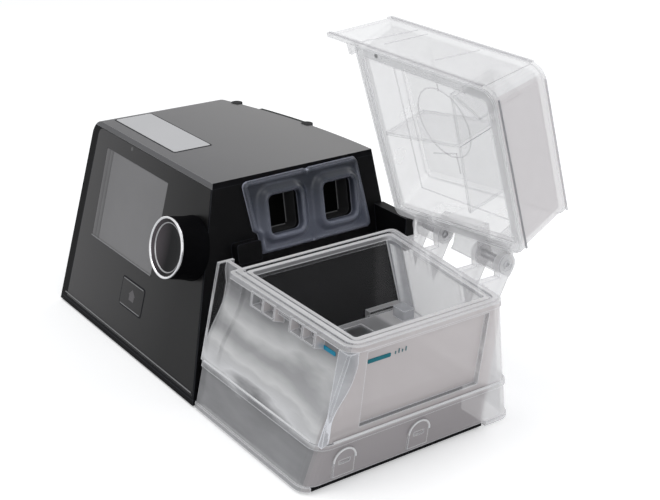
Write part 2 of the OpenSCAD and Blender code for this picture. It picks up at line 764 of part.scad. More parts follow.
// Two open catches under the rim, with a ridge between them
catch_x = [29, tank_len - 46.5];
catch_w = 21;
catch_h = 9;
module catches() {
  for (x = catch_x) difference() {
    rotate([90, 0, 90]) translate([0, 0, x]) linear_extrude(catch_w)
      polygon([[wall_y(wall_top) + 1, wall_top - catch_h],
        [front_y(wall_top - catch_h) + 1, wall_top - catch_h + 2.5],
        [front_y(wall_top) - 0.2, wall_top + 1], [wall_y(wall_top) + 1, wall_top + 1]]);
    translate([x + 1.4, 0, wall_top - catch_h + 3.2])
      cube([catch_w / 2 - 2.1, wall_y(wall_top) - 0.4, catch_h - 2.6]);
    translate([x + catch_w / 2 + 0.7, 0, wall_top - catch_h + 3.2])
      cube([catch_w / 2 - 2.1, wall_y(wall_top) - 0.4, catch_h - 2.6]);
  }
  rotate([90, 0, 90]) translate([0, 0, catch_x[0] + catch_w - 1]) linear_extrude(catch_x[1] - catch_x[0] - catch_w + 2)
    polygon([[wall_y(wall_top) + 1, wall_top - 4], [front_y(wall_top) + 1.4, wall_top - 3.4],
      [front_y(wall_top) + 1.4, wall_top - 1.8], [wall_y(wall_top) + 1, wall_top - 1.2]]);
}

// Local z along the hinge axis
module hinge_line() { translate([0, hinge_y, hinge_z]) rotate([90, 0, 90]) children(); }

module hinge_ears() {
  difference() {
    for (x = ear_x, s = [-1, 1]) translate([x + (s > 0 ? knuckle_w + slot : -ear_w - slot), 0, 0]) {
      hinge_line() cylinder(r = 5, h = ear_w);
      rotate([90, 0, 90]) linear_extrude(ear_w)
        polygon([[108, rim_z - 0.5], [hinge_y - 4, rim_z - 0.5], [hinge_y - 4.9, hinge_z],
          [hinge_y, hinge_z], [hinge_y + 4.6, hinge_z - 2], [hinge_y - 8, rim_z - 22], [108, rim_z - 22]]);
    }
    tank_form(1.4, seam_z, rim_z + 20, vessel_left);
  }
}

// Clear skirt under the vessel, open towards the docking face, with a foot flange and clips.
skirt_z = foot_h + 0.3;
skirt_top = seam_z - 0.1;
function skirt_ring(z, out, in) = tank_ring(z, out, out, out, wing_x(z) + 0.4 - vessel_left + in);
module tank_skirt() {
  color([0.78, 0.8, 0.82, 0.4]) framed() difference() {
    union() {
      loft([skirt_ring(skirt_z, 0, 0), skirt_ring(skirt_z + 2.4, -0.3, 0), skirt_ring(skirt_z + 2.6, 0.5, 0),
        skirt_ring(skirt_top - 2.8, 0.5, 0), skirt_ring(skirt_top - 2.6, -0.3, 0), skirt_ring(skirt_top, -0.3, 0),
        skirt_ring(skirt_top, 4.6, 4), skirt_ring(skirt_top - 2.4, 4.6, 4),
        skirt_ring(skirt_top - 2.8, 2.5, 2), skirt_ring(skirt_z, 2.5, 2)], true);
      end_clips();
    }
    translate([-20, tray_front - 1, 0]) cube([34, tray_back - tray_front + 2, base_z + 0.5]);
    translate([-20, front_y(seam_z) + 4, 0]) cube([34, tray_back - front_y(seam_z) - 3, seam_z + 5]);
    translate([tank_x(0) - 14, tray_front - 1, 0]) cube([30, tray_back - tray_front + 2, base_z + 0.5]);
  }
}

// Lies on the tank's leaning right end at its lower edge, local z outwards
module on_end() {
  translate([tank_len - tank_draft, 0, 0]) rotate([0, atan(tank_draft / rim_z), 0]) rotate([90, 0, 90]) children();
}

// Arched clips on the right end of the skirt
clip_y = [22, 66];
clip_r = 6;
module end_clips() {
  on_end() for (y = clip_y) translate([y, 0, -2.4]) linear_extrude(2.6) difference() {
    union() {
      translate([0, seam_z - 11]) circle(r = clip_r, $fn = 32);
      translate([-clip_r, base_z + 2.5]) square([2 * clip_r, seam_z - 13.5 - base_z]);
    }
    translate([-3, seam_z - 13]) square([6, 2]);
  }
}

// Metal plate in the vessel's floor that takes up the heat.
module conduction_plate() {
  color([0.75, 0.75, 0.77]) framed() intersection() {
    plate_seat(0.1);
    above(seam_z - 0.4);
    below(seam_z + 1.2);
  }
}

// Level lines on the front wall and the right end.
mark_t = 0.3;
module level_marks() {
  color([0, 0.55, 0.65]) framed() union() {
    translate([tank_len - 23, min(wall_y(mark_z), wall_y(mark_z + mark_h)) - mark_t - 0.08, mark_z]) mark_bar(12);
    translate([tank_x(mark_z - 1) - end_wall + tank_wall + 0.08, front_y(wall_top) + 11.869, mark_z - 3]) rotate([0, 0, 90])
      mirror([0, 1, 0]) mark_bar(13);
  }
}
mark_z = rim_z - 9;
mark_h = 1.8;
module mark_bar(w) { cube([w, mark_t, mark_h]); }

// Pins of the lid hinge, pressed into the ears.
module hinge_pins() {
  color([0.8, 0.8, 0.8]) framed() for (x = ear_x)
    hinge_line() translate([0, 0, x - ear_w - slot]) cylinder(r = pin_r, h = knuckle_w + 2 * ear_w + 2 * slot);
}

// Turns the closed lid open about the hinge.
module lid_pose() {
  translate([0, hinge_y, hinge_z]) rotate([-lid_open, 0, 0]) translate([0, -hinge_y, -hinge_z]) children();
}

lid_wall = 2;
lid_left = 8.5;
lid_left_top = -2;
lid_right = 109.5;
lid_right_top = 107.7;
lid_front = 23.6;
lid_front_top = 26.4;
lid_back_right = 111.4;
lid_back_slope = 14.4 / 108;
lid_back_lean = 5;
lid_back_left = lid_back_right + lid_back_slope * (lid_right - lid_left);
lid_tip = dock_x(lid_z) + 0.7;

// One ring of the closed lid at height z, moved in by inset
function lid_back(x, t) = lid_back_right + lid_back_slope * (lid_right - x) - lid_back_lean * t;
function lid_ring(z, inset) = let (
    t = (z - lid_z) / (unit_h - lid_z), r = max(tank_r - inset, 1.5),
    x0 = lid_left + (lid_left_top - lid_left) * t + inset, x1 = lid_right + (lid_right_top - lid_right) * t - inset,
    y0 = lid_front + (lid_front_top - lid_front) * t + inset)
  at_height(round_outline([[x0, y0], [x1, y0], [x1, lid_back(x1, t) - inset], [x0, lid_back(x0, t) - inset]],
    [2, r, r, r / 2]), z);

// Solid of the closed lid between two heights, moved in by inset.
module lid_form(inset, z0, z1) { loft([lid_ring(z0, inset), lid_ring(z1, inset)]); }

// Frosted clear lid: a deep shell with raised edges, a front tongue and a hinge bracket behind.
lid_edge = 2.4;
module lid_shell() {
  color([0.88, 0.88, 0.9, 0.5]) framed() lid_pose() difference() {
    union() {
      loft([lid_ring(unit_h - lid_wall, lid_wall + 2.5), lid_ring(unit_h - lid_wall - 1.5, lid_wall + 0.8),
        lid_ring(lid_z + lid_edge, lid_wall + 0.8), lid_ring(lid_z + lid_edge, 6),
        lid_ring(lid_z, 6), lid_ring(lid_z, 0), lid_ring(lid_z + lid_edge, 0),
        lid_ring(lid_z + lid_edge, 0.8), lid_ring(unit_h - lid_edge, 0.8),
        lid_ring(unit_h - lid_edge, 0), lid_ring(unit_h - 0.7, 0), lid_ring(unit_h, 0.7)]);
      lid_tongue();
      lid_bracket();
    }
    hinge_line() translate([0, 0, -20]) cylinder(r = pin_r + pin_fit, h = far);
  }
}

// Front plate of the lid with raised edges, which runs on towards the docking face.
module lid_tongue() {
  intersection() {
    rotate([90, 0, 90]) translate([0, 0, -60]) linear_extrude(60 + lid_right - tank_r - 1) polygon([
      [lid_front - 0.4, lid_z], [tongue_y(lid_edge) - 0.4, lid_z + lid_edge],
      [tongue_y(lid_edge) + 0.4, lid_z + lid_edge], [tongue_y(unit_h - lid_z - lid_edge) + 0.4, unit_h - lid_edge],
      [tongue_y(unit_h - lid_z - lid_edge) - 0.4, unit_h - lid_edge], [lid_front_top - 0.4, unit_h],
      [lid_front_top + 1.9, unit_h], [lid_front + 1.9, lid_z]]);
    rotate([90, 0, 0]) translate([0, 0, -far]) linear_extrude(2 * far) polygon([
      [lid_tip, lid_z], [lid_right, lid_z], [lid_right, unit_h], [lid_left_top, unit_h]]);
  }
  translate([lid_left - 8, lid_front + 1, lid_z + 0.4]) cube([2.4, 7, 5]);
}
function tongue_y(up) = lid_front + (lid_front_top - lid_front) * up / (unit_h - lid_z);

// Bracket from the lid's back edge down to its two hinge knuckles.
module lid_bracket() {
  h = unit_h - lid_z;
  for (x = ear_x) difference() {
    union() {
      hinge_line() translate([0, 0, x]) cylinder(r = 6, h = knuckle_w);
      translate([x, 0, 0]) rotate([90, 0, 90]) linear_extrude(knuckle_w)
        polygon([[108, lid_z + 3], [hinge_y, hinge_z - 4], [hinge_y + 5, hinge_z], [hinge_y, hinge_z + 6],
          [108, lid_z + 0.57 * h]]);
    }
    lid_form(1.4, lid_z - 10, unit_h);
  }
  difference() {
    translate([ear_x[0], 0, 0]) rotate([90, 0, 90]) linear_extrude(ear_x[1] - ear_x[0] + knuckle_w)
      polygon([[108, lid_z + 0.37 * h], [hinge_y - 3, hinge_z + 5], [hinge_y, hinge_z + 7], [108, lid_z + 0.57 * h]]);
    lid_form(1.4, lid_z - 10, unit_h);
  }
}

// Soft seal round the lid's lower edge.
module lid_seal() {
  color([0.8, 0.82, 0.85]) framed() lid_pose() difference() {
    lid_form(0.6, lid_z - 1.4, lid_z - 0.1);
    lid_form(5.5, lid_z - 5, lid_z + 5);
  }
}

// Partition ribs inside the lid that lead the air over the water.
module lid_baffle() {
  rib = 1.6;
  color([0.9, 0.9, 0.92, 0.6]) framed() lid_pose() intersection() {
    union() {
      rib_between([12, 76], [72, 65], rib);
      rib_between([72, 65], [69, 104], rib);
      rib_between([72, 65], [74, 36], rib);
      rib_between([74, 36], [92, 44], rib);
    }
    lid_form(lid_wall + 0.9, lid_z + 3, unit_h - lid_wall - 1.6);
  }
}
module rib_between(a, b, t) {
  len = norm(b - a);
  translate([a[0], a[1], lid_z]) rotate([0, 0, atan2(b[1] - a[1], b[0] - a[0])])
    translate([0, -t / 2, 0]) cube([len, t, unit_h - lid_z]);
}

main_housing();
top_cover();
front_panel();
base_tray();
rubber_feet();
base_screws();
display_window();
display_module();
indicator_lens();
knob_body();
knob_ring();
knob_face();
knob_shaft();
knob_encoder();
home_button();
start_button();
tact_switches();
docking_gasket();
duct_block();
blower_housing();
blower_motor();
impeller();
motor_shaft();
circuit_board();
air_filter();
filter_cover();
power_socket();
air_outlet();
card_cover();
heater_housing();
heater_plate();
tank_body();
tank_skirt();
conduction_plate();
level_marks();
hinge_pins();
lid_shell();
lid_seal();
lid_baffle();
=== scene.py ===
"""Studio picture of a bedside breathing machine with its water tank open."""
import json
import math

import bmesh
import bpy
from mathutils import Matrix, Vector


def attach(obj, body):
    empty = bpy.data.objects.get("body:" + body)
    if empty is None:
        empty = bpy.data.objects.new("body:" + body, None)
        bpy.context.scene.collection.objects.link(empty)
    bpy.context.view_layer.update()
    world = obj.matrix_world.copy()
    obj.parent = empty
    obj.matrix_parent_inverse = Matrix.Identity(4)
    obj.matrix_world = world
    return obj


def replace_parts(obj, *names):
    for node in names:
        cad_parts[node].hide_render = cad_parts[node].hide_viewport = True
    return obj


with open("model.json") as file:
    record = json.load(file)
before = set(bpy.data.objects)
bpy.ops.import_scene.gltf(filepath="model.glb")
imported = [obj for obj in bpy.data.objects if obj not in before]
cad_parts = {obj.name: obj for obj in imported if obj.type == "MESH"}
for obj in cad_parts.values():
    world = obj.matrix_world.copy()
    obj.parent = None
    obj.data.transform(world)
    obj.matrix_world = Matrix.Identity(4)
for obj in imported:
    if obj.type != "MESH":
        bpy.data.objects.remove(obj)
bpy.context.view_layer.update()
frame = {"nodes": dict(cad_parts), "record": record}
NODES = frame["nodes"]
MM = 0.001

# The part's origin in the unit's own coordinates, which start at its lower front corner by the tank
FRAME_X, FRAME_Y = -23.9, 75.2
# The unit's length and height in mm, and how far each of its sides leans in over that height
UNIT_LEN, UNIT_H = 157.3, 110.0
FRONT_LEAN, DOCK_LEAN, END_LEAN, BACK_LEAN = 27.7, 22.0, 4.4, 14.0
FRONT_ANG = math.atan(FRONT_LEAN / UNIT_H)
DOCK_ANG = math.atan(DOCK_LEAN / UNIT_H)


def at(x, y, z):
    """A point in the unit's coordinates, in mm, as a place in the scene."""
    return Vector(((x - FRAME_X) * MM, (y - FRAME_Y) * MM, z * MM))


# ---------------------------------------------------------------- shader helpers
MATERIALS = {}


def new_material(name):
    """Starts a material in the table and gives its nodes and links."""
    material = bpy.data.materials.new(name)
    material.use_nodes = True
    MATERIALS[name] = material
    return material.node_tree.nodes, material.node_tree.links


def object_coords(nodes, links, scale):
    """Object coordinates in metres times scale, one number or one for each axis."""
    coords = nodes.new("ShaderNodeTexCoord")
    mapping = nodes.new("ShaderNodeMapping")
    mapping.inputs["Scale"].default_value = scale if isinstance(scale, tuple) else (scale, scale, scale)
    links.new(coords.outputs["Object"], mapping.inputs["Vector"])
    return mapping.outputs["Vector"]


def axis(nodes, links, name):
    """One object coordinate in metres."""
    coords = nodes.new("ShaderNodeTexCoord")
    split = nodes.new("ShaderNodeSeparateXYZ")
    links.new(coords.outputs["Object"], split.inputs[0])
    return split.outputs[name]


def calc(nodes, links, operation, *values):
    """Math node over numbers and outputs."""
    node = nodes.new("ShaderNodeMath")
    node.operation = operation
    for place, value in enumerate(values):
        if isinstance(value, (int, float)):
            node.inputs[place].default_value = value
        else:
            links.new(value, node.inputs[place])
    return node.outputs[0]


def spread(nodes, links, value, low, high, out_low=0.0, out_high=1.0):
    """Maps low..high to out_low..out_high and holds the ends."""
    node = nodes.new("ShaderNodeMapRange")
    node.inputs["From Min"].default_value = low
    node.inputs["From Max"].default_value = high
    node.inputs["To Min"].default_value = out_low
    node.inputs["To Max"].default_value = out_high
    links.new(value, node.inputs["Value"])
    return node.outputs[0]


def fade(nodes, links, mask, value, other):
    """The value where the mask is 0, and the number other where it is 1."""
    keep = calc(nodes, links, "SUBTRACT", 1.0, mask)
    return calc(nodes, links, "MULTIPLY_ADD", value, keep, calc(nodes, links, "MULTIPLY", mask, other))


def facing(nodes, links, name, low, high):
    """1 where the surface faces along an axis beyond high, 0 below low; swap them for the other way."""
    geometry = nodes.new("ShaderNodeNewGeometry")
    split = nodes.new("ShaderNodeSeparateXYZ")
    links.new(geometry.outputs["True Normal"], split.inputs[0])
    return spread(nodes, links, split.outputs[name], low, high)


def noise_of(nodes, links, vector, detail):
    """Noise over coordinates that are already scaled."""
    noise = nodes.new("ShaderNodeTexNoise")
    noise.inputs["Scale"].default_value = 1.0
    noise.inputs["Detail"].default_value = detail
    links.new(vector, noise.inputs["Vector"])
    return noise.outputs["Fac"]


def blend(nodes, links, factor, first, second):
    """Colour between two, each a tuple or an output."""
    mix = nodes.new("ShaderNodeMix")
    mix.data_type = "RGBA"
    links.new(factor, mix.inputs[0])
    for place, value in ((6, first), (7, second)):
        if isinstance(value, tuple):
            mix.inputs[place].default_value = value + (1,)
        else:
            links.new(value, mix.inputs[place])
    return mix.outputs[2]


def edge_mask(nodes, links, radius):
    """Nearly 1 along the edges of a moulding and 0 on its open faces."""
    bevel = nodes.new("ShaderNodeBevel")
    bevel.samples = 6
    bevel.inputs["Radius"].default_value = radius
    geometry = nodes.new("ShaderNodeNewGeometry")
    dot = nodes.new("ShaderNodeVectorMath")
    dot.operation = "DOT_PRODUCT"
    links.new(bevel.outputs["Normal"], dot.inputs[0])
    links.new(geometry.outputs["Normal"], dot.inputs[1])
    off = calc(nodes, links, "SUBTRACT", 1.0, dot.outputs["Value"])
    return spread(nodes, links, off, 0.004, 0.12)


def cloudy(nodes, links, vector, colour, amount):
    """Cloudy change of a colour, by a small amount either way."""
    ramp = nodes.new("ShaderNodeValToRGB")
    low, high = ramp.color_ramp.elements
    low.position, high.position = 0.3, 0.7
    low.color = tuple(c * (1 - amount) for c in colour) + (1,)
    high.color = tuple(min(1, c * (1 + amount)) for c in colour) + (1,)
    links.new(noise_of(nodes, links, vector, 4.0), ramp.inputs["Fac"])
    return ramp.outputs["Color"]


def add_grain(nodes, links, shader, vector, strength):
    """Fine moulded grain as bump."""
    bump = nodes.new("ShaderNodeBump")
    bump.inputs["Strength"].default_value = strength
    bump.inputs["Distance"].default_value = 0.0002
    links.new(noise_of(nodes, links, vector, 2.0), bump.inputs["Height"])
    links.new(bump.outputs["Normal"], shader.inputs["Normal"])


# ---------------------------------------------------------------- camera and light

def add_camera():
    """Camera fitted to the reference view: its place in the unit's coordinates and its three angles."""
    azimuth, elevation, roll = math.radians(53.846), math.radians(23.167), math.radians(1.049)
    focal_px, frame_px, sensor = 1294.75, 660.0, 36.0
    place = at(506.2, -284.5, 336.3)
    back = Vector((math.sin(azimuth) * math.cos(elevation),
                   -math.cos(azimuth) * math.cos(elevation), math.sin(elevation)))
    right = Vector((math.cos(azimuth), math.sin(azimuth), 0.0))
    up = back.cross(right)
    turned_right = right * math.cos(roll) + up * math.sin(roll)
    turned_up = up * math.cos(roll) - right * math.sin(roll)
    data = bpy.data.cameras.new("camera")
    data.sensor_width = sensor
    data.lens = focal_px / frame_px * sensor
    data.clip_start = 0.01
    camera = bpy.data.objects.new("camera", data)
    bpy.context.collection.objects.link(camera)
    turn = Matrix((turned_right, turned_up, back)).transposed().to_4x4()
    camera.matrix_world = Matrix.Translation(place) @ turn
    bpy.context.scene.camera = camera


def add_area(name, place, target, size, power):
    """Soft box lamp aimed at a point."""
    data = bpy.data.lights.new(name, "AREA")
    data.shape = "RECTANGLE"
    data.size, data.size_y = size
    data.energy = power
    lamp = bpy.data.objects.new(name, data)
    bpy.context.collection.objects.link(lamp)
    lamp.location = Vector(place)
    lamp.rotation_euler = (Vector(target) - Vector(place)).to_track_quat("-Z", "Y").to_euler()


def add_world():
    """White to the camera and in reflections, and a softer cool light on the surfaces."""
    world = bpy.data.worlds.new("studio")
    bpy.context.scene.world = world
    world.use_nodes = True
    nodes, links = world.node_tree.nodes, world.node_tree.links
    nodes.clear()
    both = []
    for colour, strength in (((0.95, 0.97, 1, 1), 0.45), ((1, 1, 1, 1), 1.0)):
        light = nodes.new("ShaderNodeBackground")
        light.inputs["Color"].default_value = colour
        light.inputs["Strength"].default_value = strength
        both.append(light)
    path = nodes.new("ShaderNodeLightPath").outputs
    seen = calc(nodes, links, "MAXIMUM", path["Is Camera Ray"], path["Is Transmission Ray"])
    seen = calc(nodes, links, "MAXIMUM", seen, path["Is Glossy Ray"])
    mix = nodes.new("ShaderNodeMixShader")
    links.new(seen, mix.inputs["Fac"])
    for place, light in enumerate(both):
        links.new(light.outputs[0], mix.inputs[place + 1])
    links.new(mix.outputs[0], nodes.new("ShaderNodeOutputWorld").inputs["Surface"])


def add_floor():
    """White ground, lit from within for the camera alone so that it meets the background."""
    mesh = bpy.data.meshes.new("floor")
    half = 4.0
    mesh.from_pydata([(-half, -half, 0), (half, -half, 0), (half, half, 0), (-half, half, 0)],
                     [], [(0, 1, 2, 3)])
    floor = bpy.data.objects.new("floor", mesh)
    bpy.context.collection.objects.link(floor)
    nodes, links = new_material("floor_white")
    shader = nodes["Principled BSDF"]
    shader.inputs["Base Color"].default_value = (0.93, 0.93, 0.93, 1)
    shader.inputs["Roughness"].default_value = 0.9
    shader.inputs["Specular IOR Level"].default_value = 0.0
    glow = nodes.new("ShaderNodeEmission")
    glow.inputs["Color"].default_value = (1, 1, 1, 1)
    glow.inputs["Strength"].default_value = 0.32
    both = nodes.new("ShaderNodeAddShader")
    path = nodes.new("ShaderNodeLightPath")
    mix = nodes.new("ShaderNodeMixShader")
    out = nodes["Material Output"]
    links.new(shader.outputs[0], both.inputs[0])
    links.new(glow.outputs[0], both.inputs[1])
    links.new(path.outputs["Is Camera Ray"], mix.inputs["Fac"])
    links.new(shader.outputs[0], mix.inputs[1])
    links.new(both.outputs[0], mix.inputs[2])
    links.new(mix.outputs[0], out.inputs["Surface"])
    floor.data.materials.append(MATERIALS["floor_white"])


add_camera()
add_world()
add_floor()
for lamp_name, place, target, size, power in (
        ("key", (-0.3, -0.6, 1.5), (0, 0, 0.05), (1.2, 1.0), 9),
        ("right", (1.3, -0.2, 0.9), (0.05, 0, 0.08), (0.9, 1.2), 5),
        ("back", (0.0, 1.4, 1.1), (0, 0, 0.08), (1.6, 0.8), 5)):
    add_area(lamp_name, place, target, size, power)


# ---------------------------------------------------------------- materials

def plastic(name, colour, rough, grain=0.15, grain_scale=2500.0, variation=0.05, coat=0.0, metallic=0.0,
            level=0.5, edge=None, edge_radius=0.0006, ramp=None, side=None):
    """Moulded or metal surface.

    edge: lighter colour painted along its edges as a highlight. ramp: (axis, low, high, other colour) paints a
    gradient of light and shade along an axis, in metres.
    side: colour of the faces that look right.
    """
    nodes, links = new_material(name)
    shader = nodes["Principled BSDF"]
    shader.inputs["Roughness"].default_value = rough
    shader.inputs["Metallic"].default_value = metallic
    shader.inputs["Coat Weight"].default_value = coat
    shader.inputs["Specular IOR Level"].default_value = level
    base = cloudy(nodes, links, object_coords(nodes, links, 25.0), colour, variation)
    # Painted light and shade: a colour gradient along one axis.
    if ramp:
        name_of_axis, low, high, other = ramp
        base = blend(nodes, links, spread(nodes, links, axis(nodes, links, name_of_axis), low, high), base, other)
    # Painted highlight: a lighter colour along the edges.
    if edge:
        base = blend(nodes, links, edge_mask(nodes, links, edge_radius), base, edge)
    if side:
        mask = facing(nodes, links, "X", 0.8, 0.9)
        base = blend(nodes, links, mask, base, side)
        links.new(spread(nodes, links, mask, 0.0, 1.0, level, 0.05), shader.inputs["Specular IOR Level"])
    links.new(base, shader.inputs["Base Color"])
    if grain > 0:
        add_grain(nodes, links, shader, object_coords(nodes, links, grain_scale), grain)


def clear(name, colour, edge_colour, face, rim, grazing, rough, streak, scale,
          edge_radius=0.0012, dark_left=None, bands=(), parts=()):
    """Clear moulding: a thin haze on open faces, denser and lighter at edges and grazing angles. The edge colour is
    painted along its edges: a painted highlight where it is lighter than the faces, a dark edge line where it is
    darker.

    face, rim, grazing: alpha of its faces, of its edges, and what grazing angles add. streak: change of the haze.
    dark_left: (x limit, alpha) of the nearly clear wall at the unit. bands: painted highlights, bright streaks round
    the waved front, each (height, width, gain, colour). parts: other faces whose colour is painted light and shade,
    each (axis faced, low, high, axis of place, where it starts, where it is full, colour, alpha).
    """
    nodes, links = new_material(name)
    shader = nodes["Principled BSDF"]
    shader.inputs["Roughness"].default_value = rough
    shader.inputs["Specular IOR Level"].default_value = 0.3
    edge = edge_mask(nodes, links, edge_radius)
    vector = object_coords(nodes, links, scale)
    cloud = calc(nodes, links, "SUBTRACT", noise_of(nodes, links, vector, 4.0), 0.5)
    weight = nodes.new("ShaderNodeLayerWeight")
    weight.inputs["Blend"].default_value = 0.3
    haze = calc(nodes, links, "MULTIPLY_ADD", cloud, streak, face)
    haze = calc(nodes, links, "MULTIPLY_ADD", weight.outputs["Facing"], grazing, haze)
    base = cloudy(nodes, links, vector, colour, 0.12)
    to_front = facing(nodes, links, "Y", -0.5, -0.8)
    # Painted highlights: bright streaks round the waved front, lighter and denser than the faces round them.
    for height, width, gain, band_colour in bands:
        wobble = calc(nodes, links, "MULTIPLY_ADD", cloud, 0.03, axis(nodes, links, "Z"))
        gap = calc(nodes, links, "ABSOLUTE", calc(nodes, links, "SUBTRACT", wobble, height))
        inside = calc(nodes, links, "MULTIPLY", spread(nodes, links, gap, 0.0, width, 1.0, 0.0), to_front)
        haze = calc(nodes, links, "MULTIPLY_ADD", inside, gain, haze)
        base = blend(nodes, links, inside, base, band_colour)
    # Faces painted lighter and darker for the light and shade on them, each with its own haze.
    for axis_name, low, high, place_axis, start, full, part_colour, part_alpha in parts:
        mask = spread(nodes, links, axis(nodes, links, place_axis), start, full)
        if axis_name:
            mask = calc(nodes, links, "MULTIPLY", mask, facing(nodes, links, axis_name, low, high))
        base = blend(nodes, links, mask, base, part_colour)
        haze = fade(nodes, links, mask, haze, part_alpha)
    if dark_left:
        limit, left_alpha = dark_left
        sideways = calc(nodes, links, "MAXIMUM", facing(nodes, links, "X", 0.6, 0.9),
                        facing(nodes, links, "X", -0.6, -0.9))
        near = spread(nodes, links, axis(nodes, links, "X"), limit, limit + 0.001, 1.0, 0.0)
        haze = fade(nodes, links, calc(nodes, links, "MULTIPLY", sideways, near), haze, left_alpha)
    alpha = calc(nodes, links, "MAXIMUM", haze, calc(nodes, links, "MULTIPLY", edge, rim))
    links.new(spread(nodes, links, alpha, 0.0, 1.0), shader.inputs["Alpha"])
    # Edge colour painted along the edges: a painted highlight where it is lighter than the faces.
    links.new(blend(nodes, links, edge, base, edge_colour), shader.inputs["Base Color"])
    add_grain(nodes, links, shader, object_coords(nodes, links, 120.0), 0.05)


# Finishes of the imported pieces, by the record's slots
# Painted highlight: a lighter, bluish colour along the housing's edges.
plastic("black_housing", (0.0035, 0.0035, 0.004), rough=0.5, level=0.08, edge=(0.03, 0.032, 0.04))
# Painted highlight along the cover's edges, and a painted sheen that makes the cover lighter towards the back.
plastic("grey_cover", (0.1, 0.1, 0.105), rough=0.45, variation=0.04, level=0.3, side=(0.004, 0.004, 0.005),
        edge=(0.3, 0.3, 0.31), edge_radius=0.0003, ramp=("Y", -0.06, 0.04, (0.19, 0.187, 0.187)))
# Painted highlight along the panel's edges, and a painted reflection that makes the panel lighter towards its left
# end.
plastic("panel_gloss", (0.008, 0.0078, 0.008), rough=0.35, grain=0.05, coat=0.03, level=0.2,
        edge=(0.05, 0.05, 0.05), edge_radius=0.0003, ramp=("X", -0.01, -0.135, (0.064, 0.062, 0.063)))
plastic("rubber", (0.012, 0.012, 0.012), rough=0.8, grain=0.3, grain_scale=700.0, level=0.1)
plastic("screw_steel", (0.55, 0.55, 0.55), rough=0.3, metallic=1.0)
# Painted reflection: the screen grows darker towards its left edge.
plastic("screen_glass", (0.19, 0.187, 0.19), rough=0.25, grain=0.0, coat=0.1, level=0.3,
        ramp=("X", -0.09, -0.115, (0.165, 0.162, 0.165)))
plastic("module_metal", (0.3, 0.3, 0.32), rough=0.4, metallic=1.0)
plastic("lens", (0.1, 0.1, 0.1), rough=0.2, grain=0.0)
plastic("knob_black", (0.002, 0.002, 0.0025), rough=0.6, grain=0.05, level=0.02)
plastic("chrome", (0.8, 0.8, 0.82), rough=0.2, grain=0.03, metallic=1.0)
# Painted light and shade on the knob's dished face: lighter at its left, dark from its middle to its right.
plastic("knob_cap", (0.09, 0.079, 0.086), rough=0.45, level=0.08,
        ramp=("X", -0.0155, -0.003, (0.008, 0.008, 0.009)))
plastic("steel", (0.6, 0.6, 0.62), rough=0.3, metallic=1.0)
plastic("board", (0.02, 0.15, 0.06), rough=0.5)
# Painted highlight: a lighter colour along its edges.
plastic("silver", (0.5, 0.5, 0.51), rough=0.42, grain=0.1, variation=0.02, level=0.3, edge=(0.75, 0.75, 0.76),
        edge_radius=0.0004)
# Painted highlight along the gasket's edges, and painted shade that darkens it towards its top.
plastic("silicone", (0.1, 0.11, 0.145), rough=0.32, grain=0.05, level=0.4, edge=(0.55, 0.57, 0.68),
        edge_radius=0.0018, ramp=("Z", 0.082, 0.1, (0.012, 0.016, 0.026)))
# Painted highlight: a lighter colour along its edges.
plastic("duct_plastic", (0.05, 0.05, 0.052), rough=0.4, level=0.3, edge=(0.1, 0.1, 0.1))
plastic("white_plastic", (0.7, 0.7, 0.68), rough=0.4)
plastic("motor_metal", (0.25, 0.25, 0.27), rough=0.4, metallic=1.0)
plastic("foam", (0.6, 0.63, 0.66), rough=0.95, grain=0.8, grain_scale=900.0)
clear("clear_tank", (0.4, 0.4, 0.41), (0.78, 0.78, 0.8), face=0.44, rim=0.8, grazing=0.25, rough=0.3,
      streak=0.5, scale=(14.0, 14.0, 45.0),
      dark_left=(0.038, 0.03),
      # The bands are painted highlights along the crests of the waved front.
      bands=((0.053, 0.01, 0.25, (0.72, 0.72, 0.72)),
             (0.036, 0.01, 0.3, (0.75, 0.75, 0.75)),
             (0.029, 0.005, 0.3, (0.78, 0.78, 0.79))),
      # The parts are painted light: the right end and the end of the skirt lighter, the top of the rim lighter, and
      # the back wall lighter for the light that comes through it.
      parts=(("X", 0.5, 0.8, "X", 0.06, 0.063, (0.7, 0.65, 0.65), 0.62),
             ("X", 0.5, 0.8, "Z", 0.026, 0.024, (0.5, 0.47, 0.48), 0.6),
             ("Z", 0.7, 0.9, "Z", 0.068, 0.071, (0.8, 0.79, 0.79), 0.7),
             (None, 0, 0, "Y", 0.032, 0.035, (0.93, 0.92, 0.93), 0.4)))
clear("clear_lid", (0.93, 0.92, 0.93), (0.66, 0.65, 0.67), face=0.27, rim=0.5, grazing=0.12, rough=0.3,
      streak=0.25, scale=12.0, edge_radius=0.0008,
      # The part is painted shade: the lid's right side darker than its front.
      parts=(("X", 0.8, 0.95, "X", 0.12, 0.123, (0.7, 0.66, 0.67), 0.45),))
clear("lid_rib", (0.95, 0.95, 0.96), (0.6, 0.6, 0.62), face=0.1, rim=0.6, grazing=0.15, rough=0.3, streak=0.1,
      scale=12.0, edge_radius=0.0008)
plastic("teal_ink", (0.0, 0.26, 0.42), rough=0.4, level=0.2)
clear("clear_silicone", (0.97, 0.97, 0.98), (0.8, 0.8, 0.82), face=0.2, rim=0.6, grazing=0.2, rough=0.35,
      streak=0.2, scale=20.0)
plastic("heater_metal", (0.4, 0.4, 0.42), rough=0.4, metallic=1.0)

